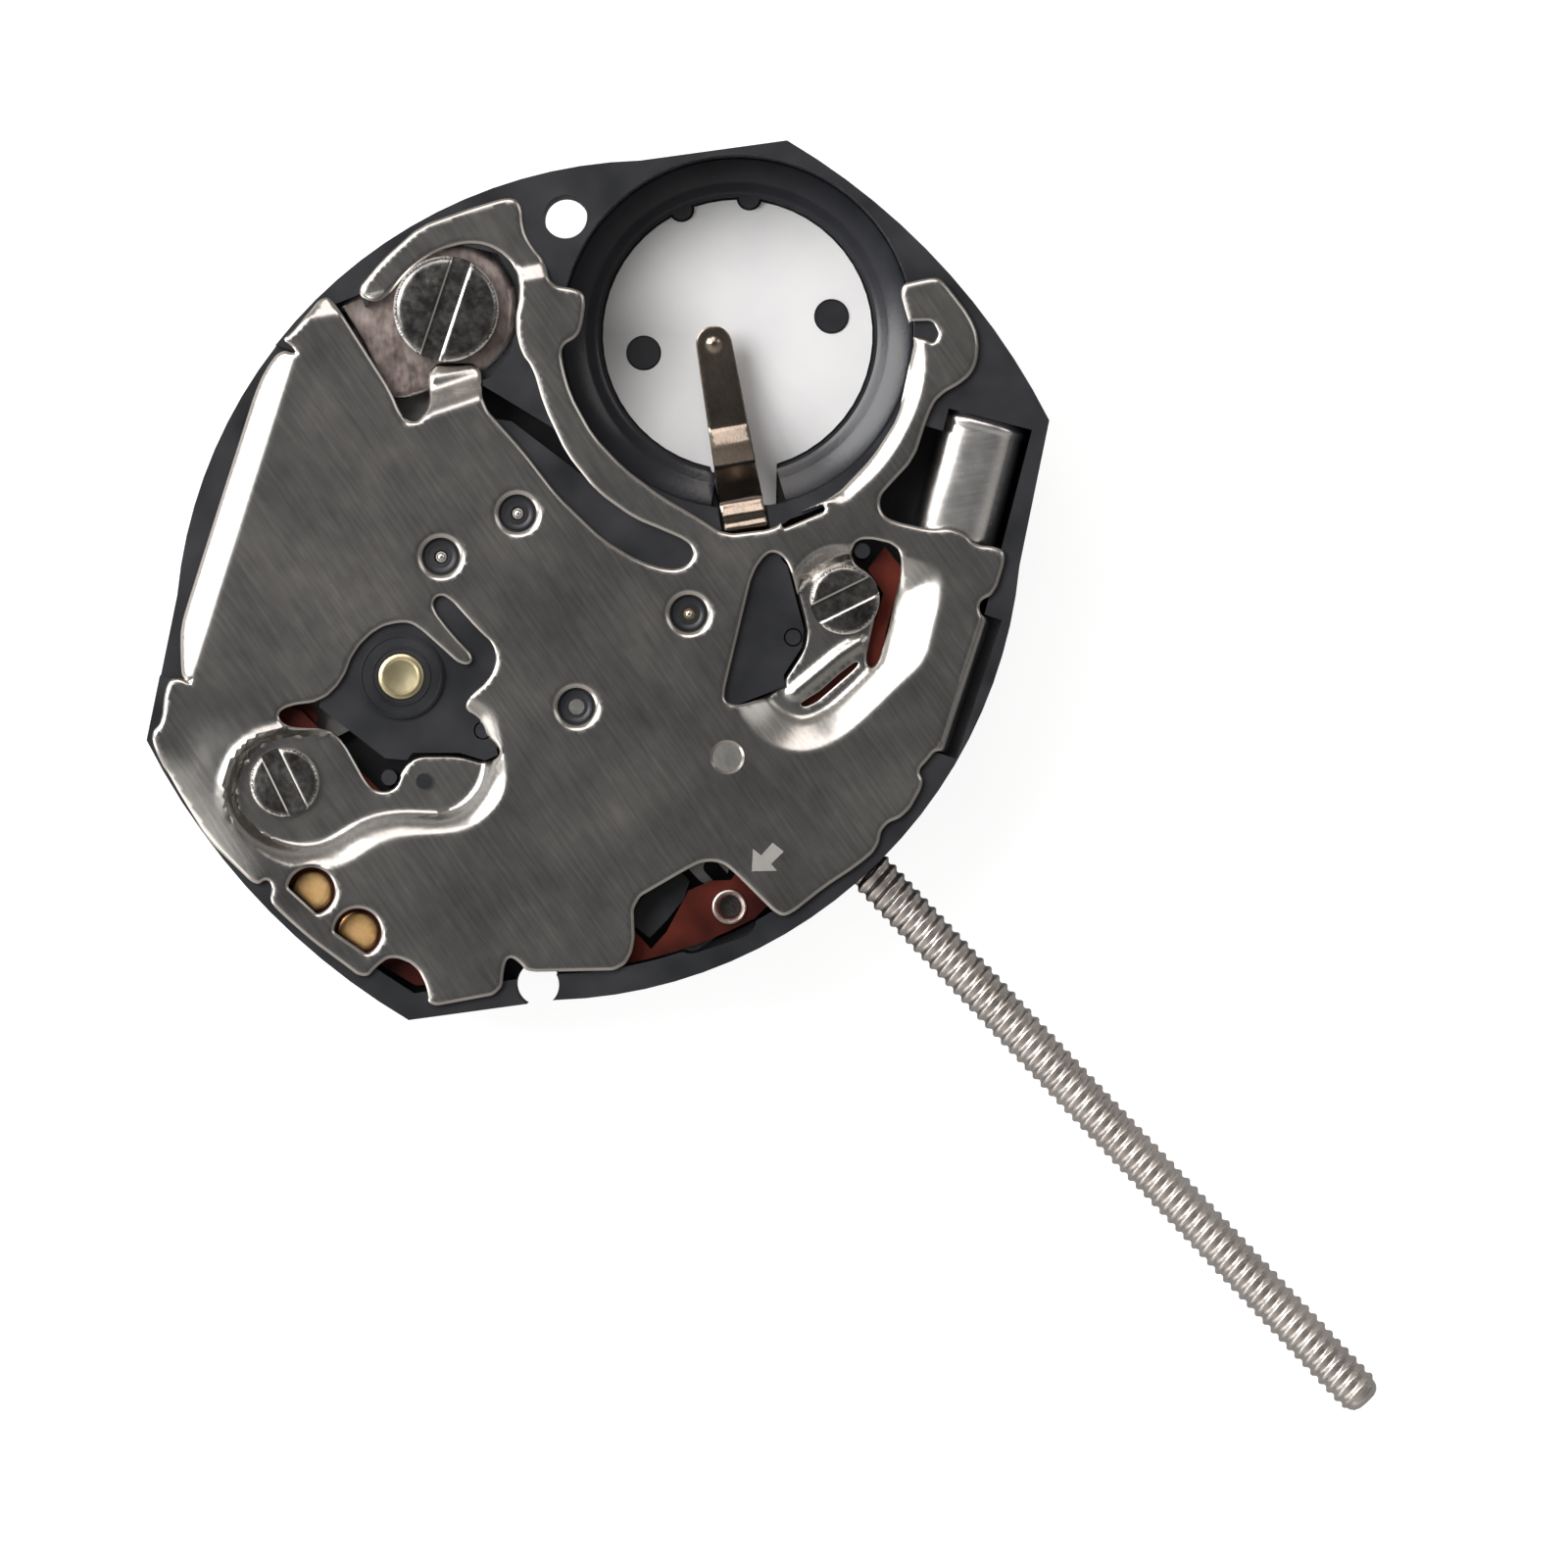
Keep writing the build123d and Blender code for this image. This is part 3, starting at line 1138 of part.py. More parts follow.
pieces = {
    "main_plate": main_plate(),
    "battery_floor_disc": battery_floor_disc(),
    "battery_minus_strip": battery_minus_strip(),
    "train_wheel_bridge": train_wheel_bridge(),
    "rotor_bush": rotor_bush(),
    "circuit_cover": circuit_cover(),
    "cover_clamp_sheet": cover_clamp_sheet(),
    "clamp_screw": clamp_screw(),
    "cover_screws": cover_screws(),
    "circuit_board": circuit_board(),
    "test_pads": test_pads(),
    "ic_chip": ic_chip(),
    "quartz_crystal": quartz_crystal(),
    "coil_core": coil_core(),
    "coil_winding": coil_winding(),
    "coil_lead_board": coil_lead_board(),
    "stator": stator(),
    "rotor_magnet": rotor_magnet(),
    "rotor_arbor": rotor_arbor(),
    "sixth_wheel": sixth_wheel(),
    "fifth_wheel": fifth_wheel(),
    "fourth_wheel": fourth_wheel(),
    "third_wheel": third_wheel(),
    "center_wheel": center_wheel(),
    "minute_wheel": minute_wheel(),
    "minute_wheel_stud": minute_wheel_stud(),
    "hour_wheel": hour_wheel(),
    "setting_wheel": setting_wheel(),
    "motion_guard": motion_guard(),
    "guard_screws": guard_screws(),
    "clutch_wheel": clutch_wheel(),
    "winding_stem": winding_stem(),
    "setting_lever": setting_lever(),
    "yoke": yoke(),
    "reset_lever": reset_lever(),
}
for name, piece in pieces.items():
    export_step(piece, f"parts/{name}.step")
    print(name, "volume", round(piece.volume, 4))
print("levels", [round(z, 3) for z in (web_top, stem_level, board_top, plate_top, cover_top)])
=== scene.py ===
import math

import bpy
import numpy as np
from mathutils import Matrix, Vector
from mathutils.geometry import delaunay_2d_cdt
from mathutils.kdtree import KDTree


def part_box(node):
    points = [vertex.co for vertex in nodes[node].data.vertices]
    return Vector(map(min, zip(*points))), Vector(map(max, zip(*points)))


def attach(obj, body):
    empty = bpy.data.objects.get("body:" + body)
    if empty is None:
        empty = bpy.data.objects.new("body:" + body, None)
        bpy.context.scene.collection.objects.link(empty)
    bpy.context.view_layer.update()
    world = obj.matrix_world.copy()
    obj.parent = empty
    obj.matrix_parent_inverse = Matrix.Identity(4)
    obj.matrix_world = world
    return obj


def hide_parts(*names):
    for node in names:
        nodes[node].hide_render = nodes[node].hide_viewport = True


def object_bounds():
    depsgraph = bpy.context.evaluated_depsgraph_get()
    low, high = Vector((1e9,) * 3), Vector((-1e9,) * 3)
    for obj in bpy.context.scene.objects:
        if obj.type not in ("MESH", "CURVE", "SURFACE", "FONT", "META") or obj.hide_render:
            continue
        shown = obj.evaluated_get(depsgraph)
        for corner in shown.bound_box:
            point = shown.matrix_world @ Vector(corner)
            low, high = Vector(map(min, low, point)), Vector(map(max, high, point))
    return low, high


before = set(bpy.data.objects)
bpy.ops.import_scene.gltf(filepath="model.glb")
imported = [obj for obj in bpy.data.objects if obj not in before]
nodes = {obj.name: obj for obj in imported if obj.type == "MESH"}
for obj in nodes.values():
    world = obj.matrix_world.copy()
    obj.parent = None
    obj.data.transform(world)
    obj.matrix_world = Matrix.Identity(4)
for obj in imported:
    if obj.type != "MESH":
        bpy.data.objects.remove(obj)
cad_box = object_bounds()

# Plan figures are in millimetres, in the frame's own directions, and become metres in make_object
MM = 0.001
HALF_WIDTH = 7.68
HALF_LENGTH = 9.0
COVER_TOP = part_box("circuit_cover")[1].z / MM
SHEET = 0.15
THIN_SHEET = 0.10
DISH_DEPTH = 0.30
CELL_HEIGHT = 2.15
DISH_TOP = COVER_TOP - DISH_DEPTH
BRIDGE_TOP = COVER_TOP - SHEET
BOSS_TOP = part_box("train_wheel_bridge")[1].z / MM
BOARD_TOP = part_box("circuit_board")[1].z / MM
STEM_LEVEL = (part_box("winding_stem")[0].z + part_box("winding_stem")[1].z) / 2 / MM
well_place = (-0.217 * HALF_WIDTH, 0.583 * HALF_LENGTH)


# Materials
def add_node(tree, kind, values=None, links=None):
    """A shader node, with values for some of its inputs and links to others."""
    node = tree.nodes.new("ShaderNode" + kind)
    for name, value in (values or {}).items():
        node.inputs[name].default_value = value
    for name, socket in (links or {}).items():
        tree.links.new(socket, node.inputs[name])
    return node


def new_material(name):
    mat = bpy.data.materials.new(name)
    mat.use_nodes = True
    tree = mat.node_tree
    tree.nodes.clear()
    out = add_node(tree, "OutputMaterial")
    shader = add_node(tree, "BsdfPrincipled")
    tree.links.new(shader.outputs[0], out.inputs[0])
    return mat, tree, shader


def mm_coordinates(tree, scale=(1, 1, 1), angle=0.0):
    """Object coordinates in millimetres, turned about Z and scaled."""
    coords = add_node(tree, "TexCoord")
    turning = {"Rotation": (0, 0, math.radians(angle)), "Scale": (1 / MM,) * 3}
    turn = add_node(tree, "Mapping", turning, {"Vector": coords.outputs["Object"]})
    return add_node(tree, "Mapping", {"Scale": scale}, {"Vector": turn.outputs[0]}).outputs[0]


def noise(tree, vector, scale, detail, rough):
    values = {"Scale": scale, "Detail": detail, "Roughness": rough}
    return add_node(tree, "TexNoise", values, {"Vector": vector}).outputs["Fac"]


def ramp(tree, factor, stops):
    node = add_node(tree, "ValToRGB", links={"Fac": factor})
    elements = node.color_ramp.elements
    while len(elements) < len(stops):
        elements.new(0.5)
    for element, (place, color) in zip(elements, stops):
        element.position = place
        element.color = (*color, 1)
    return node.outputs["Color"]


def map_range(tree, factor, old, new):
    """The factor taken from its old range to a new one."""
    values = {"From Min": old[0], "From Max": old[1], "To Min": new[0], "To Max": new[1]}
    return add_node(tree, "MapRange", values, {"Value": factor}).outputs["Result"]


def colour_and_gloss(tree, shader, factor, stops, roughness):
    """Let one factor lead both the colour and the roughness."""
    tree.links.new(ramp(tree, factor, stops), shader.inputs["Base Color"])
    tree.links.new(map_range(tree, factor, (0.25, 0.75), roughness), shader.inputs["Roughness"])


def bump(tree, shader, height, depth, strength):
    """Small relief. depth: in millimetres."""
    values = {"Strength": strength, "Distance": depth * MM}
    node = add_node(tree, "Bump", values, {"Height": height})
    tree.links.new(node.outputs[0], shader.inputs["Normal"])


def metal(name, dark, light, roughness, grain_angle=0.0, grain=(90, 7), cloud=0.55, depth=0.0006):
    """Metal with a cloudy colour and a fine grain along one direction. grain: across, along."""
    mat, tree, shader = new_material(name)
    shader.inputs["Metallic"].default_value = 1.0
    clouds = noise(tree, mm_coordinates(tree), cloud, 4, 0.65)
    fine = noise(tree, mm_coordinates(tree, (grain[1], grain[0], 20), grain_angle), 1.0, 2, 0.5)
    grain_share = 0.35
    both = add_node(tree, "Mix", {0: grain_share}, {2: clouds, 3: fine}).outputs[0]
    colour_and_gloss(tree, shader, both, [(0.32, dark), (0.68, light)], roughness)
    bump(tree, shader, fine, depth, 0.5)
    return mat


def plastic(name, dark, light, roughness, speck=14.0, depth=0.004, sheen=0.5):
    """Moulded plastic or satin sheet with a faint uneven gloss."""
    mat, tree, shader = new_material(name)
    shader.inputs["Specular IOR Level"].default_value = sheen
    vector = mm_coordinates(tree)
    tone = noise(tree, vector, speck, 3, 0.6)
    clouds = noise(tree, vector, 0.8, 2, 0.5)
    colour_and_gloss(tree, shader, clouds, [(0.3, dark), (0.7, light)], roughness)
    bump(tree, shader, tone, depth, 0.4)
    return mat


COVER = metal("cover_steel", (0.33, 0.32, 0.31), (0.49, 0.47, 0.44), (0.19, 0.27), 8, (15, 0.9), 0.5, 0.0015)
ETCHED = metal("etched_steel", (0.40, 0.39, 0.37), (0.50, 0.49, 0.47), (0.50, 0.60), 8, (30, 10))
COIN = metal("coin_steel", (0.34, 0.33, 0.31), (0.46, 0.45, 0.42), (0.34, 0.44), 8, (20, 6))
PIVOT = metal("pivot_steel", (0.84, 0.83, 0.82), (0.94, 0.93, 0.92), (0.10, 0.18), 0, (40, 40))
# Lighter edge steel for the cut walls and rolled edges: partly the bare edge's own colour, partly a painted
# highlight where the edges catch the lamps.
CUT_EDGE_AND_HIGHLIGHT = metal("cut_edge_and_highlight", (0.46, 0.43, 0.40), (0.58, 0.55, 0.52), (0.16, 0.28), 0, (20, 20))
GLOSS = plastic("black_gloss", (0.012, 0.013, 0.018), (0.024, 0.025, 0.033), (0.16, 0.24))
BLACK = plastic("black_moulding", (0.012, 0.013, 0.016), (0.025, 0.026, 0.031), (0.28, 0.42))
SATIN = plastic("satin_disc", (0.90, 0.90, 0.91), (0.95, 0.95, 0.95), (0.38, 0.48), 40.0, 0.0008)
STRIP = metal("dark_spring_steel", (0.14, 0.125, 0.11), (0.38, 0.31, 0.25), (0.12, 0.20), 20, (50, 8))
BUSH = metal("bush_brass", (0.62, 0.53, 0.31), (0.76, 0.67, 0.43), (0.26, 0.36), 0, (8, 8), 0.3, 0.0005)
NICKEL = metal(
    "nickel_sheet", (0.27, 0.21, 0.195), (0.58, 0.48, 0.445), (0.26, 0.42), 40, (10, 5), 1.8, 0.003
)
SCREW = metal("dark_screw_steel", (0.09, 0.085, 0.082), (0.31, 0.30, 0.285), (0.14, 0.30), 0, (9, 9), 2.2)
# A light copy of the screw steel for the slot's lips and the head's rim: a painted highlight.
SLOT_HIGHLIGHT = metal("slot_painted_highlight_steel", (0.60, 0.57, 0.54), (0.70, 0.67, 0.64), (0.2, 0.3), 0, (20, 20))
BOARD = plastic("board_red_brown", (0.030, 0.005, 0.004), (0.135, 0.022, 0.012), (0.32, 0.48), sheen=0.15)
PAD = metal("pad_gold", (0.80, 0.47, 0.18), (0.92, 0.61, 0.29), (0.35, 0.5), 0, (16, 16), 1.5)
CAN = metal("can_silver", (0.74, 0.71, 0.69), (0.92, 0.90, 0.88), (0.20, 0.30), -57, (14, 1.5), 1.2)
IRON = metal("core_iron", (0.20, 0.19, 0.18), (0.36, 0.35, 0.33), (0.34, 0.48), 40, (60, 6))
COPPER = metal("copper_wire", (0.50, 0.18, 0.07), (0.80, 0.36, 0.18), (0.25, 0.4), 32, (4, 60), 1.0)
MAGNET = plastic("magnet_dark", (0.03, 0.03, 0.032), (0.07, 0.07, 0.072), (0.4, 0.6))
STEEL = metal("polished_steel", (0.50, 0.48, 0.46), (0.80, 0.77, 0.74), (0.18, 0.32), 0, (50, 8), 1.2)
STEM = metal("stem_steel", (0.52, 0.48, 0.45), (0.74, 0.69, 0.65), (0.22, 0.36), 0, (12, 40), 1.2)
LEVER = metal("lever_steel", (0.10, 0.095, 0.09), (0.22, 0.21, 0.20), (0.2, 0.34), 0, (30, 8), 1.2)
WHEEL = plastic("moulded_wheel", (0.62, 0.58, 0.50), (0.74, 0.70, 0.62), (0.35, 0.5))
BRASS = metal("wheel_brass", (0.60, 0.43, 0.17), (0.82, 0.63, 0.30), (0.22, 0.36), 0, (40, 8), 1.5)


def painted_reflection_fans(mat, place):
    """Painted reflection: darker fans round the disc's middle, multiplied into its colour where turned satin
    metal would reflect less light.
    """
    tree = mat.node_tree
    shader = tree.nodes["Principled BSDF"]
    plain = shader.inputs["Base Color"].links[0].from_socket
    centre = {"Location": (-place[0], -place[1], 0)}
    shift = add_node(tree, "Mapping", centre, {"Vector": mm_coordinates(tree)}).outputs[0]
    fan = add_node(tree, "TexGradient", links={0: shift})
    fan.gradient_type = "RADIAL"
    # Painted reflection tones by angle round the disc's middle
    stops = [
        (0.0, 0.98), (0.06, 0.78), (0.13, 0.50), (0.20, 0.74), (0.27, 1.0), (0.385, 1.0), (0.425, 0.60),
        (0.445, 0.56), (0.475, 0.84), (0.52, 1.0), (0.72, 1.0), (0.84, 0.88), (0.93, 0.98),
    ]
    tones = ramp(tree, fan.outputs["Fac"], [(at, (tone, tone, tone)) for at, tone in stops])
    length = add_node(tree, "VectorMath", links={0: shift})
    length.operation = "LENGTH"
    clear_middle, full_fans = 0.3, 2.6
    reach = map_range(tree, length.outputs["Value"], (clear_middle, full_fans), (0, 1))
    blend = add_node(tree, "Mix")
    blend.data_type = "RGBA"
    blend.blend_type = "MULTIPLY"
    for number, socket in ((0, reach), (6, plain), (7, tones)):
        tree.links.new(socket, blend.inputs[number])
    tree.links.new(blend.outputs[2], shader.inputs["Base Color"])


# Painted reflection fans on the battery's floor disc
painted_reflection_fans(SATIN, well_place)

# Each look and the nodes that have it
looks = (
    (BLACK, "main_plate", "train_wheel_bridge", "ic_chip"),
    (SATIN, "battery_floor_disc"),
    (STRIP, "battery_minus_strip"),
    (COVER, "circuit_cover"),
    (NICKEL, "cover_clamp_sheet"),
    (SCREW, "clamp_screw", "cover_screws", "guard_screws"),
    (BOARD, "circuit_board", "coil_lead_board"),
    (PAD, "test_pads"),
    (CAN, "quartz_crystal"),
    (IRON, "coil_core", "stator"),
    (COPPER, "coil_winding"),
    (MAGNET, "rotor_magnet"),
    (BUSH, "rotor_bush"),
    (WHEEL, "sixth_wheel", "fifth_wheel"),
    (BRASS, "fourth_wheel", "third_wheel", "center_wheel", "minute_wheel", "hour_wheel"),
    (STEEL, "rotor_arbor", "minute_wheel_stud", "setting_wheel", "motion_guard", "clutch_wheel"),
    (STEEL, "yoke", "reset_lever"),
    (STEM, "winding_stem"),
    (LEVER, "setting_lever"),
)
for mat, *names in looks:
    for name in names:
        nodes[name].data.materials.clear()
        nodes[name].data.materials.append(mat)


def soften_plate():
    """A fine rounding of the moulded plate's edges."""
    edge = nodes["main_plate"].modifiers.new("soft_edge", "BEVEL")
    edge.width = 0.07 * MM
    edge.segments = 2
    edge.limit_method = "ANGLE"
    edge.angle_limit = math.radians(60)


soften_plate()


# Mesh helpers
def make_object(name, vertices, faces, materials, smooth_angle=35.0, indices=None):
    """A mesh object from vertices in millimetres."""
    mesh = bpy.data.meshes.new(name)
    mesh.from_pydata([(x * MM, y * MM, z * MM) for x, y, z in vertices], [], faces)
    for mat in materials:
        mesh.materials.append(mat)
    if indices is not None:
        mesh.polygons.foreach_set("material_index", indices)
    mesh.validate()
    mesh.shade_smooth()
    mesh.set_sharp_from_angle(angle=math.radians(smooth_angle))
    obj = bpy.data.objects.new(name, mesh)
    bpy.context.scene.collection.objects.link(obj)
    return obj


def scaled(shares):
    return [(x * HALF_WIDTH, y * HALF_LENGTH) for x, y in shares]


def rounded(points, limit=0.16, rounds=2, closed=True):
    """Corner cutting that takes at most the limit from each side."""
    for turn in range(rounds):
        most = limit / (turn + 1) ** 2
        ends = points[1:] + points[:1] if closed else points[1:]
        made = [] if closed else [points[0]]
        for a, b in zip(points, ends):
            length = max(math.dist(a, b), 1e-9)
            share = min(0.25, most / length)
            made.append((a[0] + (b[0] - a[0]) * share, a[1] + (b[1] - a[1]) * share))
            made.append((b[0] - (b[0] - a[0]) * share, b[1] - (b[1] - a[1]) * share))
        points = made if closed else made + [points[-1]]
    return points


def resampled(points, step, closed=True):
    """The outline with points about one step apart."""
    ring = np.array(list(points) + [points[0]] if closed else points)
    run = np.concatenate([[0], np.cumsum(np.hypot(*np.diff(ring, axis=0).T))])
    count = max(8, int(round(run[-1] / step)))
    spots = np.linspace(0, run[-1], count + (not closed), endpoint=not closed)
    return np.column_stack([np.interp(spots, run, ring[:, 0]), np.interp(spots, run, ring[:, 1])])


def smooth_line(points, step=0.1, closed=True):
    return resampled(rounded(points, 0.5, 3, closed), step, closed)


def ring_points(centre, radius, step=0.05):
    count = max(16, int(2 * math.pi * radius / step))
    angles = np.linspace(0, 2 * math.pi, count, endpoint=False)
    return np.column_stack([centre[0] + radius * np.cos(angles), centre[1] + radius * np.sin(angles)])


def turned_area(loop):
    x, y = loop[:, 0], loop[:, 1]
    return 0.5 * np.sum(x * np.roll(y, -1) - np.roll(x, -1) * y)


def within(loop, points):
    """Which points lie inside a closed loop."""
    result = np.zeros(len(points), bool)
    px, py = points[:, 0], points[:, 1]
    for (ax, ay), (bx, by) in zip(loop, np.roll(loop, -1, axis=0)):
        if ay == by:
            continue
        crossing = (ay > py) != (by > py)
        at_x = (bx - ax) * (py - ay) / (by - ay) + ax
        result ^= crossing & (px < at_x)
    return result


def distance_to(path, points, closed=True):
    """Distance from each point to a path of straight runs."""
    best = np.full(len(points), 1e9)
    ends = np.roll(path, -1, axis=0) if closed else path[1:]
    starts = path if closed else path[:-1]
    for a, b in zip(starts, ends):
        run = b - a
        share = np.clip(((points - a) @ run) / max(run @ run, 1e-12), 0, 1)
        gap = points - a - share[:, None] * run
        best = np.minimum(best, np.hypot(gap[:, 0], gap[:, 1]))
    return best


def ease(value):
    value = np.clip(value, 0, 1)
    return value * value * (3 - 2 * value)


def across(points, start, end):
    """Run along a line and distance to its left, for each point."""
    start, end = np.array(start), np.array(end)
    along = (end - start) / math.dist(start, end)
    gap = points - start
    return gap @ along, gap @ np.array([-along[1], along[0]])


def on_circle(centre, radius, degrees):
    turn = math.radians(degrees)
    return centre[0] + radius * math.cos(turn), centre[1] + radius * math.sin(turn)


def rolled_rows(loop, edge):
    """Rows of points inside a loop, over its rolled edge, each with its distance from the loop."""
    along = np.roll(loop, -1, axis=0) - np.roll(loop, 1, axis=0)
    along /= np.maximum(np.hypot(along[:, 0], along[:, 1]), 1e-9)[:, None]
    inward = np.column_stack([-along[:, 1], along[:, 0]])
    return [(loop + inward * edge * share, edge * share) for share in (0.12, 0.45, 1.0)]


def staggered_grid(low, high, spacing):
    """Points of a triangular grid over a box."""
    rows = []
    y = low[1]
    while y < high[1]:
        xs = np.arange(low[0] + (len(rows) % 2) * spacing / 2, high[0], spacing)
        rows.append(np.column_stack([xs, np.full(len(xs), y)]))
        y += spacing * 0.866
    return np.concatenate(rows)


def walled(triangles, count):
    """Faces of a solid: triangles on top, the same turned over below, and the wall's quads."""
    top = triangles.tolist()
    sides = set()
    for a, b, c in top:
        sides.update(((a, b), (b, c), (c, a)))
    border = sorted((a, b) for a, b in sides if (b, a) not in sides)
    bottom = [[v + count for v in triangle[::-1]] for triangle in top]
    return top + bottom, [[b, a, a + count, b + count] for a, b in border]


def triangulated(points, links, in_sheet):
    """Vertices and upward triangles over the sheet, with an edge along each link."""
    result = delaunay_2d_cdt([Vector(point) for point in points.tolist()], links, [], 0, 1e-5)
    vertices = np.array([(v.x, v.y) for v in result[0]])
    triangles = np.array(result[2])
    triangles = triangles[in_sheet(vertices[triangles].mean(1))]
    used = np.unique(triangles)
    remap = -np.ones(len(vertices), int)
    remap[used] = np.arange(len(used))
    vertices = vertices[used]
    triangles = remap[triangles]
    corners = vertices[triangles]
    sides_a = corners[:, 1] - corners[:, 0]
    sides_b = corners[:, 2] - corners[:, 0]
    turning = sides_a[:, 0] * sides_b[:, 1] - sides_a[:, 1] * sides_b[:, 0]
    return vertices, np.where(turning[:, None] < 0, triangles[:, ::-1], triangles)


def formed_sheet(name, loops, height, materials, thickness=None, base=None, spacing=0.1,
                 paint=None, creases=(), angle=50.0):
    """A solid over a plan, of even thickness or down to a flat base.

    loops: (points, rolled edge width), the outer one first. height: the top's level at each point.
    paint: changes the top's material numbers. creases: open lines that the mesh follows.
    """
    plan = []
    links = []
    rows = []
    edge_width = []
    for number, (points, edge) in enumerate(loops):
        loop = np.array(points)
        if (turned_area(loop) > 0) != (number == 0):
            loop = loop[::-1]
        start = len(plan)
        count = len(loop)
        plan.extend(loop.tolist())
        edge_width.extend([edge] * count)
        links.extend((start + i, start + (i + 1) % count) for i in range(count))
        rows.extend(rolled_rows(loop, edge))
    bound = np.array(plan)
    tree = KDTree(len(bound) * 4)
    for i, j in links:
        for share in (0, 0.25, 0.5, 0.75):
            spot = bound[i] * (1 - share) + bound[j] * share
            tree.insert((spot[0], spot[1], 0), i)
    tree.balance()

    def near(points):
        found = [tree.find((p[0], p[1], 0)) for p in points]
        return np.array([f[2] for f in found]), np.array([edge_width[f[1]] for f in found])

    outer = np.array(loops[0][0])
    hole_loops = [np.array(points) for points, _ in loops[1:]]

    def in_sheet(points):
        inside = within(outer, points)
        for loop in hole_loops:
            inside &= ~within(loop, points)
        return inside

    made = [bound]
    for points, gap in rows:
        good = in_sheet(points)
        gaps, _ = near(points)
        made.append(points[good & (gaps > gap * 0.9)])
    grid = staggered_grid(outer.min(0), outer.max(0), spacing)
    grid = grid[in_sheet(grid)]
    gaps, widths = near(grid)
    keep = gaps > widths + 0.45 * spacing
    for crease in creases:
        keep &= distance_to(crease, grid, False) > 0.35 * spacing
    made.append(grid[keep])
    for crease in creases:
        start = sum(len(points) for points in made)
        links.extend((start + i, start + i + 1) for i in range(len(crease) - 1))
        made.append(crease)
    vertices, triangles = triangulated(np.concatenate(made), links, in_sheet)
    gaps, widths = near(vertices)
    rim_gap = np.clip(widths - gaps, 0, None)
    drop = 0.45 * rim_gap + 0.25 * np.clip(rim_gap - 0.7 * widths, 0, None)
    level = height(vertices)
    under = level - thickness if base is None else np.full(len(level), base)
    both = np.vstack([np.column_stack([vertices, level - drop]), np.column_stack([vertices, under])])
    skins, wall = walled(triangles, len(vertices))
    # The rolled edge and the wall take the second material; on the sheets that is the lighter edge steel,
    # partly a painted highlight.
    rim = gaps < widths * 0.8
    indices = np.where(rim[triangles].any(axis=1), 1, 0)
    if paint is not None:
        indices = paint(vertices[triangles].mean(1), indices)
    indices = indices.tolist() + [0] * len(triangles) + [1] * len(wall)
    return make_object(name, both.tolist(), skins + wall, materials, angle, indices)


def ring_quads(rows, count, wrap=False):
    """Quads between neighbouring rings of vertices. wrap: the last ring joins the first."""
    quads = []
    for row in range(rows if wrap else rows - 1):
        this, following = row * count, (row + 1) % rows * count
        for step in range(count):
            after = (step + 1) % count
            quads.append([this + step, this + after, following + after, following + step])
    return quads


def turned_rings(profile, count, place, axis="Z"):
    """Rings of vertices round an axis. profile: (position along the axis, radius or its formula)."""
    vertices = []
    for along, radius in profile:
        for step in range(count):
            turn = 2 * math.pi * step / count
            size = radius(turn) if callable(radius) else radius
            a, b = size * math.cos(turn), size * math.sin(turn)
            offset = (a, b, along) if axis == "Z" else (along, a, b)
            vertices.append([at + away for at, away in zip(place, offset)])
    return vertices


def closed_faces(rows, count):
    """Faces of a solid from rings of vertices, with both ends closed."""
    ends = [list(range(count))[::-1], list(range((rows - 1) * count, rows * count))]
    return ring_quads(rows, count) + ends


def turned(name, profile, count, place, materials, axis="Z", angle=35.0):
    """A turned solid, from one end of its profile to the other."""
    vertices = turned_rings(profile, count, place, axis)
    return make_object(name, vertices, closed_faces(len(profile), count), materials, angle)


def band(name, profile, count, place, materials):
    """A turned ring. profile: (height, radius) round the closed section, outside first."""
    vertices = turned_rings(profile, count, place)
    return make_object(name, vertices, ring_quads(len(profile), count, True), materials)


def put(piece, slot, *replaced, body="movement"):
    """Ride on a body and stand for the nodes named. slot: not used."""
    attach(piece, body)
    if replaced:
        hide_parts(*replaced)


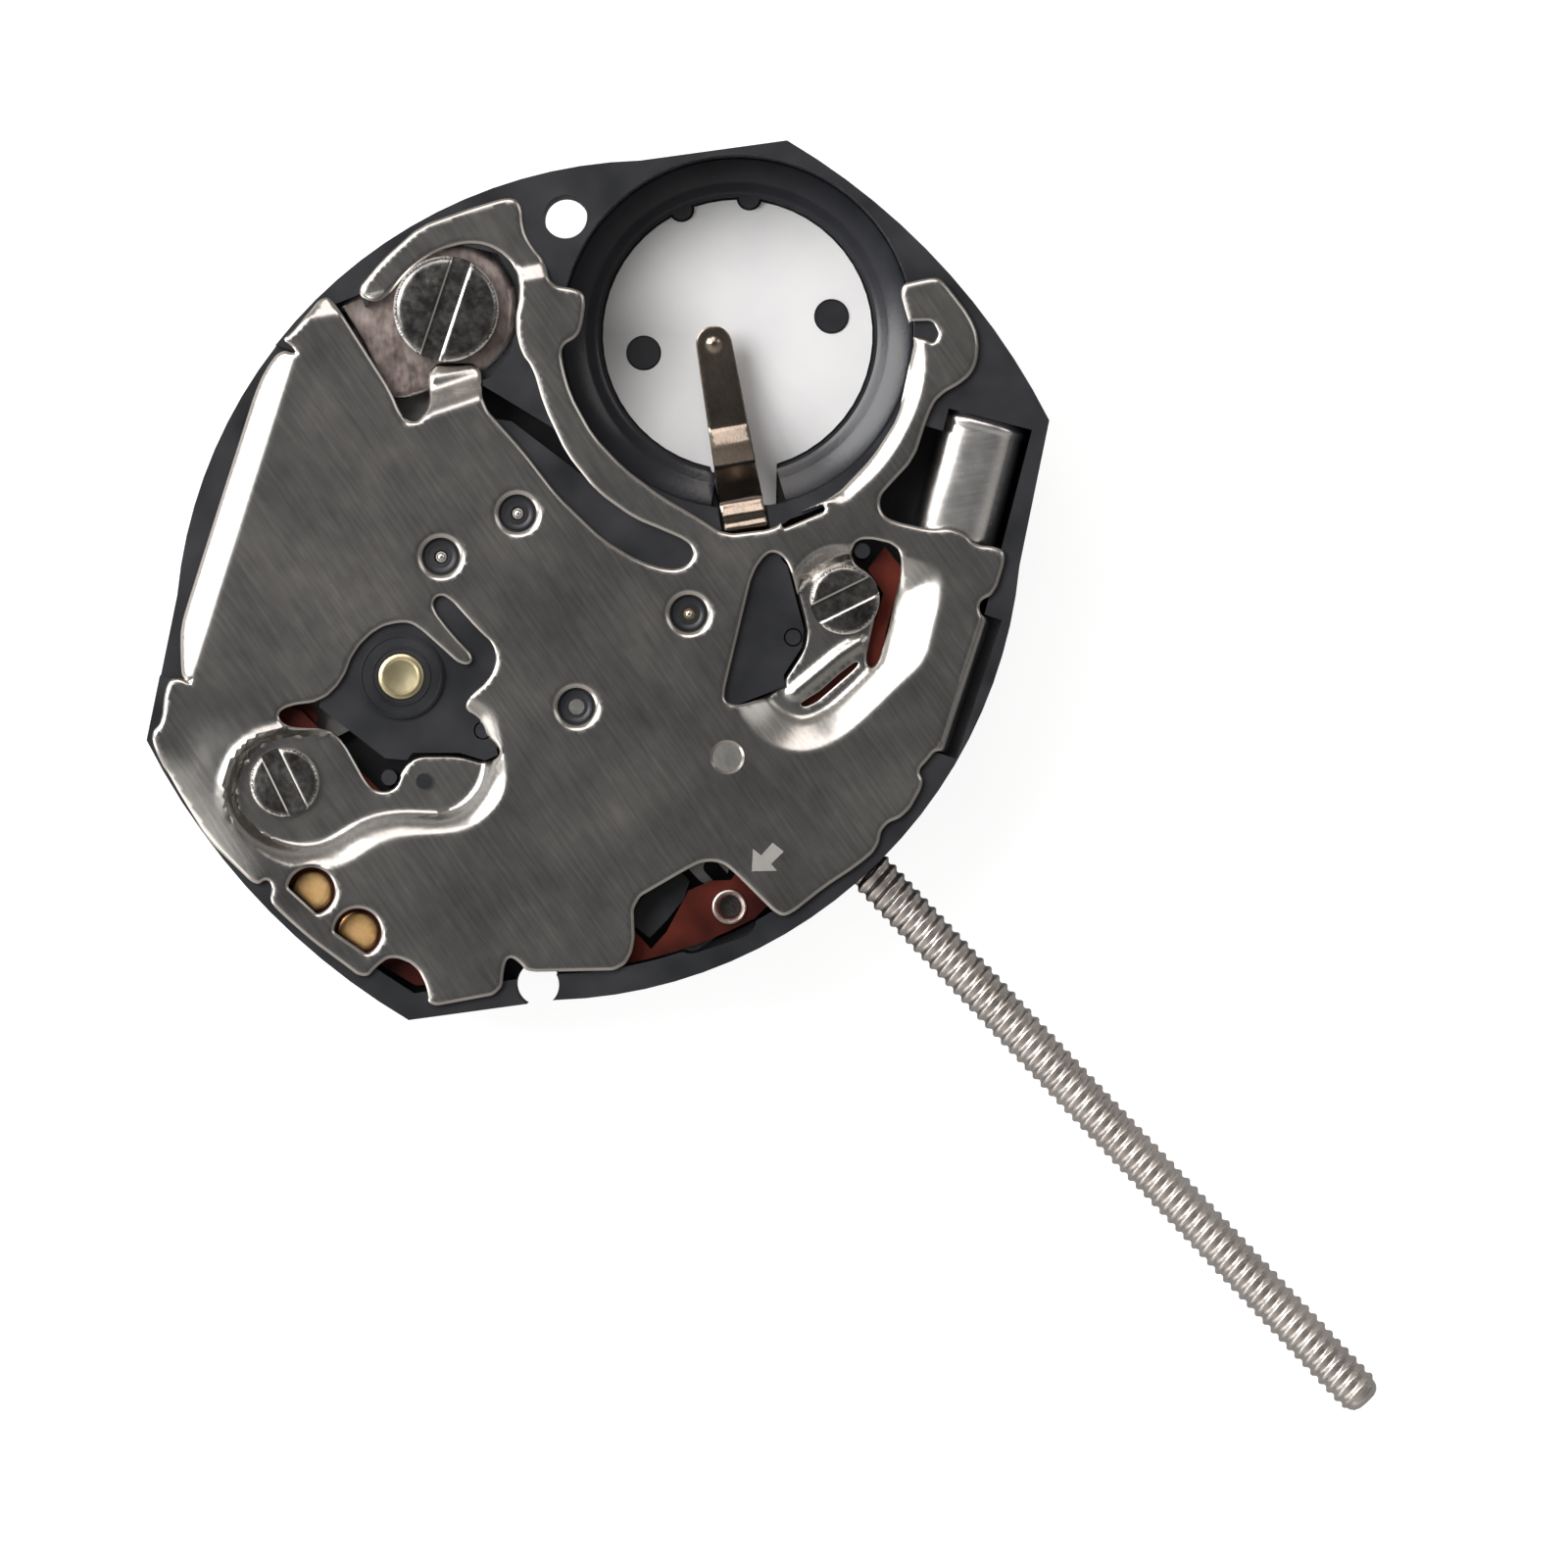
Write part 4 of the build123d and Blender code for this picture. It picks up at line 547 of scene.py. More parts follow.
# The cover
cover_edge_shares = (
    (-0.996, -0.007), (-0.978, -0.120), (-0.985, -0.142), (-0.951, -0.135), (-0.930, -0.140),
    (-0.508, -0.785), (-0.554, -0.806), (-0.544, -0.837), (-0.486, -0.892), (-0.489, -0.919),
    (-0.457, -0.939), (-0.356, -0.967), (-0.193, -0.991), (-0.023, -0.983), (-0.024, -0.956),
    (0.002, -0.955), (0.024, -0.984), (0.068, -0.984), (0.170, -0.976), (0.251, -0.963), (0.333, -0.951),
    (0.328, -0.909), (0.335, -0.872), (0.395, -0.848), (0.460, -0.865), (0.492, -0.891),
    (0.593, -0.756), (0.545, -0.711), (0.537, -0.688), (0.573, -0.682), (0.596, -0.686),
    (0.757, -0.533), (0.736, -0.479), (0.648, -0.414), (0.685, -0.277), (0.697, -0.246),
    (0.729, -0.220), (0.766, -0.215), (0.926, -0.210), (0.944, -0.190), (0.953, -0.094),
    (0.970, -0.010), (0.973, 0.045), (0.937, 0.086), (0.961, 0.138), (0.932, 0.216),
    (0.899, 0.220), (0.896, 0.254), (0.891, 0.281), (0.721, 0.546), (0.692, 0.566),
    (0.707, 0.601), (0.657, 0.675), (0.629, 0.677), (0.581, 0.640), (0.548, 0.644),
    (0.504, 0.625), (0.484, 0.598), (0.399, 0.548), (0.364, 0.541), (0.332, 0.561),
    (0.327, 0.590), (0.321, 0.673), (0.265, 0.758), (0.246, 0.802), (0.266, 0.869),
    (0.256, 0.909), (0.211, 0.951), (0.154, 0.970), (0.046, 0.979), (0.025, 0.973),
    (-0.001, 0.939), (-0.024, 0.903), (0.045, 0.871), (0.101, 0.851), (0.134, 0.811),
    (0.216, 0.710), (0.246, 0.609), (0.253, 0.494), (0.210, 0.385), (0.209, 0.351),
    (0.134, 0.264), (0.062, 0.250), (-0.047, 0.222), (-0.163, 0.205), (-0.274, 0.205),
    (-0.388, 0.230), (-0.465, 0.265), (-0.493, 0.288), (-0.481, 0.321), (-0.492, 0.347),
    (-0.539, 0.396), (-0.567, 0.396), (-0.623, 0.357), (-0.675, 0.384), (-0.732, 0.387),
    (-0.771, 0.397), (-0.821, 0.432), (-0.854, 0.426), (-0.898, 0.352), (-0.955, 0.242),
    (-0.958, 0.135), (-0.944, 0.040), (-0.889, 0.057), (-0.883, 0.096), (-0.890, 0.147),
    (-0.886, 0.210), (-0.865, 0.260), (-0.833, 0.301), (-0.784, 0.327), (-0.715, 0.332),
    (-0.659, 0.300), (-0.614, 0.246), (-0.548, 0.213), (-0.501, 0.210), (-0.412, 0.171),
    (-0.286, 0.136), (-0.163, 0.128), (-0.051, 0.147), (0.014, 0.173), (0.086, 0.199),
    (0.118, 0.191), (0.128, 0.160), (0.107, 0.128), (0.038, 0.093), (-0.067, 0.068),
    (-0.223, 0.061), (-0.365, 0.073), (-0.520, 0.076), (-0.601, 0.135), (-0.690, 0.053),
    (-0.613, -0.005), (-0.596, -0.045), (-0.611, -0.062), (-0.642, -0.066), (-0.702, -0.046),
    (-0.945, -0.007),
)
triangle_hole_shares = (
    (0.239, 0.307), (0.251, 0.254), (0.427, 0.027), (0.448, 0.021), (0.476, 0.040),
    (0.511, 0.112), (0.479, 0.224), (0.446, 0.256), (0.301, 0.323), (0.261, 0.324),
)
pillar_window_shares = (
    (-0.306, -0.700), (-0.302, -0.668), (-0.252, -0.610), (-0.254, -0.545), (-0.290, -0.485),
    (-0.292, -0.414), (-0.259, -0.365), (-0.229, -0.350), (-0.150, -0.344), (-0.071, -0.338),
    (-0.064, -0.306), (-0.150, -0.307), (-0.236, -0.300), (-0.250, -0.276), (-0.229, -0.258),
    (-0.104, -0.260), (-0.063, -0.256), (-0.027, -0.274), (-0.003, -0.314), (-0.007, -0.375),
    (0.010, -0.399), (0.063, -0.410), (0.128, -0.396), (0.157, -0.410), (0.142, -0.445),
    (0.084, -0.473), (0.005, -0.545), (0.014, -0.590), (0.033, -0.625), (0.018, -0.650),
    (-0.015, -0.662), (-0.146, -0.634), (-0.190, -0.640), (-0.266, -0.703),
)
screw_slot_hole_shares = (
    (0.371, 0.449), (0.379, 0.480), (0.452, 0.522), (0.496, 0.498), (0.601, 0.369),
    (0.640, 0.303), (0.612, 0.294), (0.515, 0.414), (0.473, 0.437), (0.405, 0.424),
)
cover_places = {
    "third": (1.67, 0.84), "fifth": (-2.00, -0.25), "sixth": (-2.40, -1.90), "minute": (1.50, -1.97),
}
PIVOT_HOLE_RADIUS = 0.37
pad_places = ((0.60, -8.13), (1.79, -8.02))
PAD_HOLE_RADIUS = 0.46
PAD_RADIUS = 0.39
screw_places = ((-1.29, -7.08), (3.53, 3.22))
screw_slot_angles = (-17, 73)
SCREW_RADIUS = 0.67
SCREW_HEAD = 0.26
CLAMP_PLACE = (-5.82, 1.44)
CLAMP_RADIUS = 1.02
CLAMP_HEAD = 0.38
CLAMP_SLOT_ANGLE = 118.5
SHANK_RADIUS = 0.30
SLOT_WIDTH = 0.34
SLOT_DEPTH = 0.14

# Lines where the pressed places of the sheet begin and where they reach the seat's level
lower_ridge = [
    (1.18, -3.61), (1.66, -3.94), (1.88, -4.40), (1.84, -5.12), (1.42, -5.66), (0.98, -6.20),
    (0.78, -6.70), (0.72, -7.20), (0.52, -7.68), (0.10, -8.05), (-0.40, -8.30), (-1.00, -8.40),
    (-1.52, -8.32), (-1.86, -8.14), (-2.16, -7.80), (-2.32, -7.38), (-2.32, -6.92), (-2.14, -6.50),
    (-1.90, -6.10), (-1.50, -5.50), (-0.90, -4.20), (0.20, -3.00),
]
lower_toe = [
    (0.90, -4.05), (1.03, -4.42), (1.12, -4.86), (1.04, -5.16), (0.86, -5.30), (0.51, -5.60),
    (0.16, -6.00), (-0.05, -6.46), (-0.16, -6.93), (-0.26, -7.38), (-0.55, -7.72), (-0.95, -7.94),
    (-1.40, -8.02), (-1.68, -7.86), (-1.92, -7.58), (-2.06, -7.20), (-2.04, -6.86), (-1.90, -6.56),
    (-1.52, -6.20), (-1.10, -5.60), (-0.40, -4.60), (0.30, -3.80),
]
upper_ridge = [
    (3.50, 0.20), (4.20, 0.12), (4.86, 0.33), (5.26, 0.75), (5.46, 1.32), (5.48, 2.09),
    (5.46, 2.86), (5.50, 3.33), (5.40, 3.70), (5.10, 4.15), (4.82, 4.58), (4.54, 4.90),
    (4.20, 4.98), (3.80, 4.72), (3.20, 4.30), (2.62, 3.85), (2.42, 3.40), (2.44, 3.00),
    (2.60, 2.00), (3.00, 1.00),
]
upper_toe = [
    (3.66, 0.96), (4.20, 0.88), (4.62, 1.04), (4.80, 1.50), (4.82, 2.06), (4.80, 2.62),
    (4.76, 3.06), (4.46, 3.56), (4.14, 4.00), (3.80, 4.26), (3.40, 4.06), (2.92, 3.76),
    (2.72, 3.40), (2.70, 3.02), (3.00, 2.20),
]

# Lesser folds, steps and cuts of the sheet
neck_line = ((-4.50, -0.26), (-4.05, 0.72))
neck_end_line = ((-5.05, 0.26), (-4.54, 1.04))
arm_step_line = ((-5.53, 3.07), (-5.25, 3.50))
ARM_STEP = 0.09
soft_corner_line = ((-3.40, -8.40), (-2.495, -8.823))
SOFT_CORNER_REACH = 1.20
SOFT_CORNER_BEND = 0.11
SOFT_CORNER_SWELL = 0.045
BEAD_LIFT = 0.04
BEAD_REACH = 0.16
slit = [
    (4.40, 1.20), (4.52, 1.24), (4.60, 1.48), (4.62, 1.96), (4.64, 2.40), (4.62, 2.60),
    (4.54, 2.56), (4.50, 2.17), (4.49, 1.68), (4.43, 1.38),
]
bar_line = [(4.18, 1.28), (4.22, 1.90), (4.25, 2.42), (4.33, 2.86)]
lip_line = [(2.70, 3.02), (2.72, 3.36), (2.80, 3.62), (2.92, 3.86)]
arm_lip_line = [(0.64, 7.60), (1.21, 7.15), (1.64, 6.39), (1.90, 5.48), (1.88, 4.60)]
ARM_LIP_REACH = 0.30
ARM_LIP_SLOPE = 0.35
lip_slot = [(1.54, 3.37), (1.90, 4.19), (2.03, 4.12), (1.72, 3.28)]
hook_slot = [(0.44, 7.78), (0.76, 8.14), (1.04, 8.06), (1.10, 7.84), (0.96, 7.80), (0.66, 7.60)]
coin_place = (4.20, -0.51)
COIN_RADIUS = 0.33
COIN_WALL = 0.05
COIN_DEPTH = 0.03
flange_line = ((-0.930, -0.140), (-0.508, -0.785))
FLANGE_REACH = 0.56
FLANGE_DROP = 0.20
tab_line = ((0.891, 0.281), (0.721, 0.546))
TAB_REACH = 0.24
TAB_DROP = 0.35
RIM_INSET = 0.12
shoulder = (0.697 * HALF_WIDTH, 0.682 * HALF_LENGTH)


def rim_room(place, outward):
    """How far a point may move outward before it meets the plate's bowed side, less an inset."""
    depth = HALF_WIDTH - shoulder[0]
    bow = (shoulder[1] ** 2 + depth ** 2) / (2 * depth)
    side = 1 if outward[0] > 0 else -1
    dx, dy = place[0] - side * (HALF_WIDTH - bow), place[1]
    half = dx * outward[0] + dy * outward[1]
    return math.sqrt(half ** 2 - (dx ** 2 + dy ** 2 - (bow - RIM_INSET) ** 2)) - half


def with_fold(outline, line, reach):
    """The outline with a folded edge added outside one of its sides."""
    start, end = scaled(line)
    length = math.dist(start, end)
    outward = ((end[1] - start[1]) / length, (start[0] - end[0]) / length)
    steps = 14
    added = []
    for step in range(steps + 1):
        share = step / steps
        place = (start[0] + (end[0] - start[0]) * share, start[1] + (end[1] - start[1]) * share)
        out = min(reach, rim_room(place, outward))
        added.append((place[0] + outward[0] * out, place[1] + outward[1] * out))
    at = outline.index(start)
    return outline[: at + 1] + added + outline[at + 1:]


def pressed(level, points, ridge, toe, shoulder_share, shoulder_depth):
    """Lower the level from a ridge line, gently over the shoulder's share and then more steeply."""
    outer = smooth_line(ridge)
    inner = smooth_line(toe)
    inside = within(outer, points)
    held = points[inside]
    far = distance_to(outer, held)
    close = distance_to(inner, held)
    share = np.where(within(inner, held), 1, far / (far + close + 1e-9))
    gentle = np.clip(share / shoulder_share, 0, 1) ** 1.2
    overlap = 0.06
    steep = ease((share - shoulder_share + overlap) / min(0.40, 1 + overlap - shoulder_share))
    level[inside] -= DISH_DEPTH * (shoulder_depth * gentle + (1 - shoulder_depth) * steep)


def folded(level, points, line, reach, drop):
    """Bend the level down outside a line, with a rounded bend."""
    start, end = scaled(line)
    along, side = across(points, start, end)
    margin = 0.02
    out = (along > -margin) & (along < math.dist(start, end) + margin) & (side < 0)
    bend = 0.10
    level[out] -= drop * (np.sqrt(side[out] ** 2 + bend ** 2) - bend) / reach


def stepped(level, points, line, middle, half_width, reach, run, depth):
    """Lower the level past a line, over a short run, near the line's middle and within its reach."""
    along, past = across(points, *line)
    near = (np.abs(along - middle) < half_width) & (past > 0) & (past < reach)
    level[near] -= depth * ease(past[near] / run)


def raised(level, points, line, reach, fall, lift):
    """Lift the level along a line."""
    gap = distance_to(np.array(line), points, False)
    level += lift * ease((reach - gap) / fall)


def soft_corner(level, points, ridge):
    """Swell the sheet beside the lower seat and bend its outer edge down."""
    along, inward = across(points, *soft_corner_line)
    starting = ease((along + 0.3) / 0.9)
    ending = ease((4.0 - along) / 0.8)
    weight = starting * ending * (inward > -1)
    near = weight > 0
    gap = distance_to(ridge, points[near])
    swell = np.where(within(ridge, points[near]), np.clip(1 - gap / 0.3, 0, 1), 1)
    fading = ease((2.4 - inward[near]) / 1.1)
    level[near] += SOFT_CORNER_SWELL * swell * weight[near] * fading
    growing = 1 + 0.45 * np.clip(along, 0, 3)
    weight *= growing
    level -= SOFT_CORNER_BEND * weight * np.clip(SOFT_CORNER_REACH - inward, 0, None) ** 2


def ridge_bead(level, points, ridge):
    """A low bead outside the left part of the lower seat's ridge."""
    left = (points[:, 0] < -1.2) & (points[:, 1] < -5.8)
    held = points[left]
    gap = distance_to(ridge, held)
    share = ease((-1.4 - held[:, 0]) / 0.4) * ~within(ridge, held)
    level[left] += BEAD_LIFT * share * np.clip(1 - gap / BEAD_REACH, 0, 1)


def lower_arm(level, points):
    """Lower the arm that runs round the large screw."""
    x, y = points.T
    _, past = across(points, *arm_step_line)
    arm = (past > -0.5) & ((x < -5.4) | (y > 1.6)) & (x < -4.4)
    level[arm] -= ARM_STEP * ease((past[arm] + 0.42) / 0.36)


def cover_height(points):
    """Top level of the formed cover over the plan."""
    ridge = smooth_line(lower_ridge)
    level = np.full(len(points), COVER_TOP)
    pressed(level, points, lower_ridge, lower_toe, shoulder_share=0.36, shoulder_depth=0.36)
    pressed(level, points, upper_ridge, upper_toe, shoulder_share=0.86, shoulder_depth=0.80)
    stepped(level, points, neck_line, middle=0.55, half_width=1.0, reach=1.6, run=0.60, depth=DISH_DEPTH)
    gap = np.hypot(*(points - coin_place).T)
    level -= COIN_DEPTH * ease((COIN_RADIUS - gap) / COIN_WALL)
    raised(level, points, bar_line, reach=0.20, fall=0.18, lift=0.07)
    raised(level, points, lip_line, reach=0.16, fall=0.15, lift=0.08)
    gap = distance_to(smooth_line(arm_lip_line, 0.1, False), points, False)
    level -= ARM_LIP_SLOPE * np.clip(ARM_LIP_REACH - gap, 0, None)
    soft_corner(level, points, ridge)
    ridge_bead(level, points, ridge)
    lower_arm(level, points)
    stepped(level, points, neck_end_line, middle=0.47, half_width=0.9, reach=0.6, run=0.26, depth=0.08)
    highest = cad_box[1].z / MM - 0.002
    level = np.minimum(level, highest)
    folded(level, points, flange_line, FLANGE_REACH, FLANGE_DROP)
    folded(level, points, tab_line, TAB_REACH, TAB_DROP)
    return level


def pad_loop(place, radius, flat):
    """A round loop cut straight on its outward side, at the flat's share of the radius."""
    outward = np.array(place) / math.hypot(*place)
    side = np.array([-outward[1], outward[0]])
    ring = ring_points((0, 0), radius, 0.04)
    x = np.minimum(ring[:, 0], flat * radius)
    return resampled([tuple(place + a * outward + b * side) for a, b in zip(x, ring[:, 1])], 0.04)


def cover_sheet():
    """The stamped steel cover with its pressed seats, windows and folded edges."""
    outline = with_fold(scaled(cover_edge_shares), flange_line, FLANGE_REACH)
    outline = with_fold(outline, tab_line, TAB_REACH)
    # Points of each loop, with the width of its rolled edge
    loops = [(resampled(rounded(outline), 0.055), 0.06)]
    for shares in (triangle_hole_shares, pillar_window_shares, screw_slot_hole_shares):
        loops.append((resampled(rounded(scaled(shares)), 0.05), 0.05))
    cuts = ((slit, 0.05, 0.03, 0.02), (lip_slot, 0.04, 0.04, 0.05), (hook_slot, 0.06, 0.04, 0.05))
    loops += [(resampled(rounded(points, corner_cut), step), edge) for points, corner_cut, step, edge in cuts]
    loops += [(ring_points(place, PIVOT_HOLE_RADIUS), 0.09) for place in cover_places.values()]
    loops += [(pad_loop(place, PAD_HOLE_RADIUS, 0.55), 0.06) for place in pad_places]
    loops += [(ring_points(place, SHANK_RADIUS + 0.03, 0.08), 0.02) for place in screw_places]

    def paint(centres, indices):
        gap = np.hypot(*(centres - coin_place).T)
        indices[gap < COIN_RADIUS - COIN_WALL] = 2
        # A painted highlight: a ring of the lighter edge steel along the dimple's pressed wall.
        indices[np.abs(gap - COIN_RADIUS + 0.02) < 0.035] = 1
        return indices

    creases = []
    for radius in (COIN_RADIUS, COIN_RADIUS - COIN_WALL):
        ring = ring_points(coin_place, radius)
        creases.append(np.vstack([ring, ring[:1] + 1e-4]))
    return formed_sheet(
        "cover_sheet", loops, cover_height, [COVER, CUT_EDGE_AND_HIGHLIGHT, COIN], thickness=SHEET, spacing=0.08,
        paint=paint, creases=creases, angle=30.0,
    )


put(cover_sheet(), "cover_steel", "circuit_cover")


# Screws
def screw_head(name, place, radius, head, slot_angle):
    """A slotted head with a rounded rim, on the seat level."""
    place = np.array(place)
    top = DISH_TOP + head
    turn = math.radians(slot_angle)
    along = np.array([math.cos(turn), math.sin(turn)])
    side = np.array([-along[1], along[0]])
    half = SLOT_WIDTH / 2
    wall = 0.012
    lip = 0.035
    lip_fall = 0.018
    crown = 0.02
    rim = 0.16 * radius

    def height(points):
        gap = points - place
        v = np.abs(gap @ side)
        r = np.hypot(gap[:, 0], gap[:, 1])
        rim_share = np.clip((r - radius + rim) / rim, 0, 1)
        level = top - 0.5 * rim * (1 - np.sqrt(1 - 0.98 * rim_share ** 2)) - crown * (r / radius) ** 2
        level -= lip_fall * np.clip((half + wall + lip - v) / lip, 0, 1)
        sink = np.clip((half + wall - v) / wall, 0, 1)
        return level - sink * np.clip(level - (top - SLOT_DEPTH), 0, None)

    def paint(centres, indices):
        v = np.abs((centres - place) @ side)
        r = np.hypot(*(centres - place).T)
        indices[:] = 0
        # Painted highlight: the slot's lips and the head's rim take the light copy of the screw steel.
        indices[(v > half) & (v < half + wall + lip)] = 1
        indices[(r > radius - 0.035) & (v > half)] = 1
        return indices

    creases = []
    for offset in (half, half + wall, half + wall + lip):
        reach = math.sqrt(radius ** 2 - offset ** 2) - 0.012
        spots = np.linspace(-reach, reach, max(12, int(2 * reach / 0.05)))
        for sign in (-1, 1):
            creases.append(place + spots[:, None] * along + sign * offset * side)
    loops = [(ring_points(place, radius), 0.0)]
    return formed_sheet(
        name, loops, height, [SCREW, SLOT_HIGHLIGHT], base=DISH_TOP, spacing=0.05, paint=paint,
        creases=creases, angle=28.0,
    )


def shank(name, place):
    length = 1.0
    profile = [(0, SHANK_RADIUS - 0.06), (0.06, SHANK_RADIUS), (length, SHANK_RADIUS)]
    return turned(name, profile, 24, (*place, DISH_TOP - length), [SCREW])


clamp_head = screw_head("clamp_screw_head", CLAMP_PLACE, CLAMP_RADIUS, CLAMP_HEAD, CLAMP_SLOT_ANGLE)
put(clamp_head, "dark_screw_steel", "clamp_screw")
put(shank("clamp_screw_shank", CLAMP_PLACE), "dark_screw_steel")
for number, (place, slot_angle) in enumerate(zip(screw_places, screw_slot_angles), 1):
    head = screw_head(f"cover_screw_head_{number}", place, SCREW_RADIUS, SCREW_HEAD, slot_angle)
    replaced = ["cover_screws"] if number == 1 else []
    put(head, "dark_screw_steel", *replaced)
    put(shank(f"cover_screw_shank_{number}", place), "dark_screw_steel")


# Winding stem with its thread
def winding_stem():
    pitch = 0.225
    steps = 8
    start, end = 7.62, 21.60
    crest, root = 0.44, 0.375
    pivot, collar, groove, neck = 0.18, 0.50, 0.28, 0.29
    half_side = 0.20
    flank_steepness, valley = 3.2, 0.3

    def thread(x):
        def radius(turn):
            place = ((x - start) / pitch - turn / (2 * math.pi)) % 1
            rise = np.clip((0.5 - abs(place - 0.5)) * flank_steepness - valley, 0, 1)
            fade = min(1, (x - start) / 0.1, (end - x) / 0.1 + 0.3)
            return root + (crest - root) * rise * max(0, fade)
        return radius

    def square(turn):
        return half_side / max(abs(math.cos(turn)), abs(math.sin(turn)))

    profile = [
        (2.00, pivot - 0.06), (2.06, pivot), (3.40, pivot), (3.40, square), (5.45, square),
        (5.45, collar), (5.65, collar), (5.65, groove), (5.95, groove), (5.95, collar), (7.20, collar),
        (7.20, neck), (start, neck),
    ]
    count = int(round((end - start) / pitch * steps))
    for step in range(count + 1):
        x = start + (end - start) * step / count
        profile.append((x, thread(x)))
    profile += [(end, root), (21.68, 0.35), (21.75, 0.29), (21.79, 0.20), (21.80, 0.10)]
    return turned("winding_stem_turned", profile, 32, (0, 0, STEM_LEVEL), [STEM], "X", 50.0)


put(winding_stem(), "polished_steel", "winding_stem", body="stem_body")


# Sloping seat ring round the battery's floor disc
def seat_ring():
    """A ring between two angles, open where the minus strip comes down."""
    ledge = COVER_TOP - CELL_HEIGHT
    section = [
        (-0.02, 3.40), (-0.02, 2.72), (0.01, 2.72), (0.04, 2.80), (0.05, 2.92), (0.07, 2.98),
        (0.20, 3.34), (0.20, 3.40),
    ]
    start, end, count = -27, 308, 160
    vertices = []
    for step in range(count + 1):
        angle = start + (end - start) * step / count
        vertices += [(*on_circle(well_place, radius, angle), ledge + rise) for rise, radius in section]
    return make_object("well_seat_ring", vertices, closed_faces(count + 1, len(section)), [GLOSS], 40.0)


put(seat_ring(), "black_moulding")


# Gold pads of the board
def test_pad(number, place):
    """One pad, a little smaller than the cover's hole over it."""
    low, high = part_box("test_pads")
    loops = [(pad_loop(place, PAD_RADIUS, 0.62), 0.04)]

    def height(points):
        return np.full(len(points), high.z / MM)

    return formed_sheet(f"test_pad_{number}", loops, height, [PAD, PAD], base=low.z / MM)


put(test_pad(1, pad_places[0]), "pad_gold", "test_pads")
put(test_pad(2, pad_places[1]), "pad_gold")


# Can of the quartz crystal, a little square in section above its middle
def crystal_can():
    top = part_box("quartz_crystal")[1].z / MM
    radius = 0.78
    widening = 1.10
    length = 4.40
    round_power, square_power = 2.0, 3.0
    middle = top - radius
    head = (0.363 * HALF_WIDTH, 0.847 * HALF_LENGTH)
    bearing = math.radians(-57.6)
    along = (math.cos(bearing), math.sin(bearing))
    count = 56
    # Distance from the head and share of the radius
    profile = [
        (0.0, 0.78), (0.01, 0.86), (0.05, 0.93), (0.11, 0.97), (0.16, 1.0), (0.22, 1.0), (0.27, 0.97),
        (0.34, 0.965), (length - 0.10, 0.965), (length, 0.90),
    ]

    def placed(run, side):
        return head[0] + along[0] * run - along[1] * side, head[1] + along[1] * run + along[0] * side

    vertices = []
    for run, share in profile:
        for step in range(count):
            turn = 2 * math.pi * step / count
            power = square_power if math.sin(turn) > 0 else round_power
            size = radius * share
            size /= (abs(math.cos(turn)) ** power + abs(math.sin(turn)) ** power) ** (1 / power)
            vertices.append((*placed(run, widening * size * math.cos(turn)), middle + size * math.sin(turn)))
    faces = [[face[0], *face[:0:-1]] for face in closed_faces(len(profile), count)]
    can = make_object("crystal_can", vertices, faces, [CAN], 40.0)
    lead_profile = [(0, 0.10), (0.50, 0.10), (0.55, 0.06)]
    for number, offset in enumerate((-0.25, 0.25), 1):
        x, y = placed(length, offset)
        lead = turned(f"crystal_lead_{number}", lead_profile, 16, (0, 0, 0), [CAN], "X")
        lead.location = (x * MM, y * MM, middle * MM)
        lead.rotation_euler = (0, 0, bearing)
        lead.parent = can
    return can


put(crystal_can(), "can_silver", "quartz_crystal")


# Nickel sheet round the large screw
def clamp_sheet():
    low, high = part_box("cover_clamp_sheet")
    top = high.z / MM
    outline = [on_circle(CLAMP_PLACE, 1.38, -16 + 204 * step / 23) for step in range(24)]
    outline += [(-7.02, 0.52), (-7.20, 0.44), (-7.30, -0.02), (-6.49, -0.19), (-5.31, -0.58), (-5.10, -0.28)]

    step_start, step_run, step_depth = 1.22, 0.14, 0.04
    tail_end = -3.6

    def height(points):
        """A low step down near the arc's rim, away from the tail."""
        gap = np.hypot(*(points - CLAMP_PLACE).T)
        away = points @ np.array([0.69, 0.73]) > tail_end
        return top - step_depth * ease((gap - step_start) / step_run) * away

    loops = [(resampled(outline, 0.06), 0.05), (ring_points(CLAMP_PLACE, SHANK_RADIUS + 0.04, 0.08), 0.0)]
    return formed_sheet(
        "clamp_sheet", loops, height, [NICKEL, CUT_EDGE_AND_HIGHLIGHT], base=low.z / MM, spacing=0.08
    )


put(clamp_sheet(), "nickel_sheet", "cover_clamp_sheet")


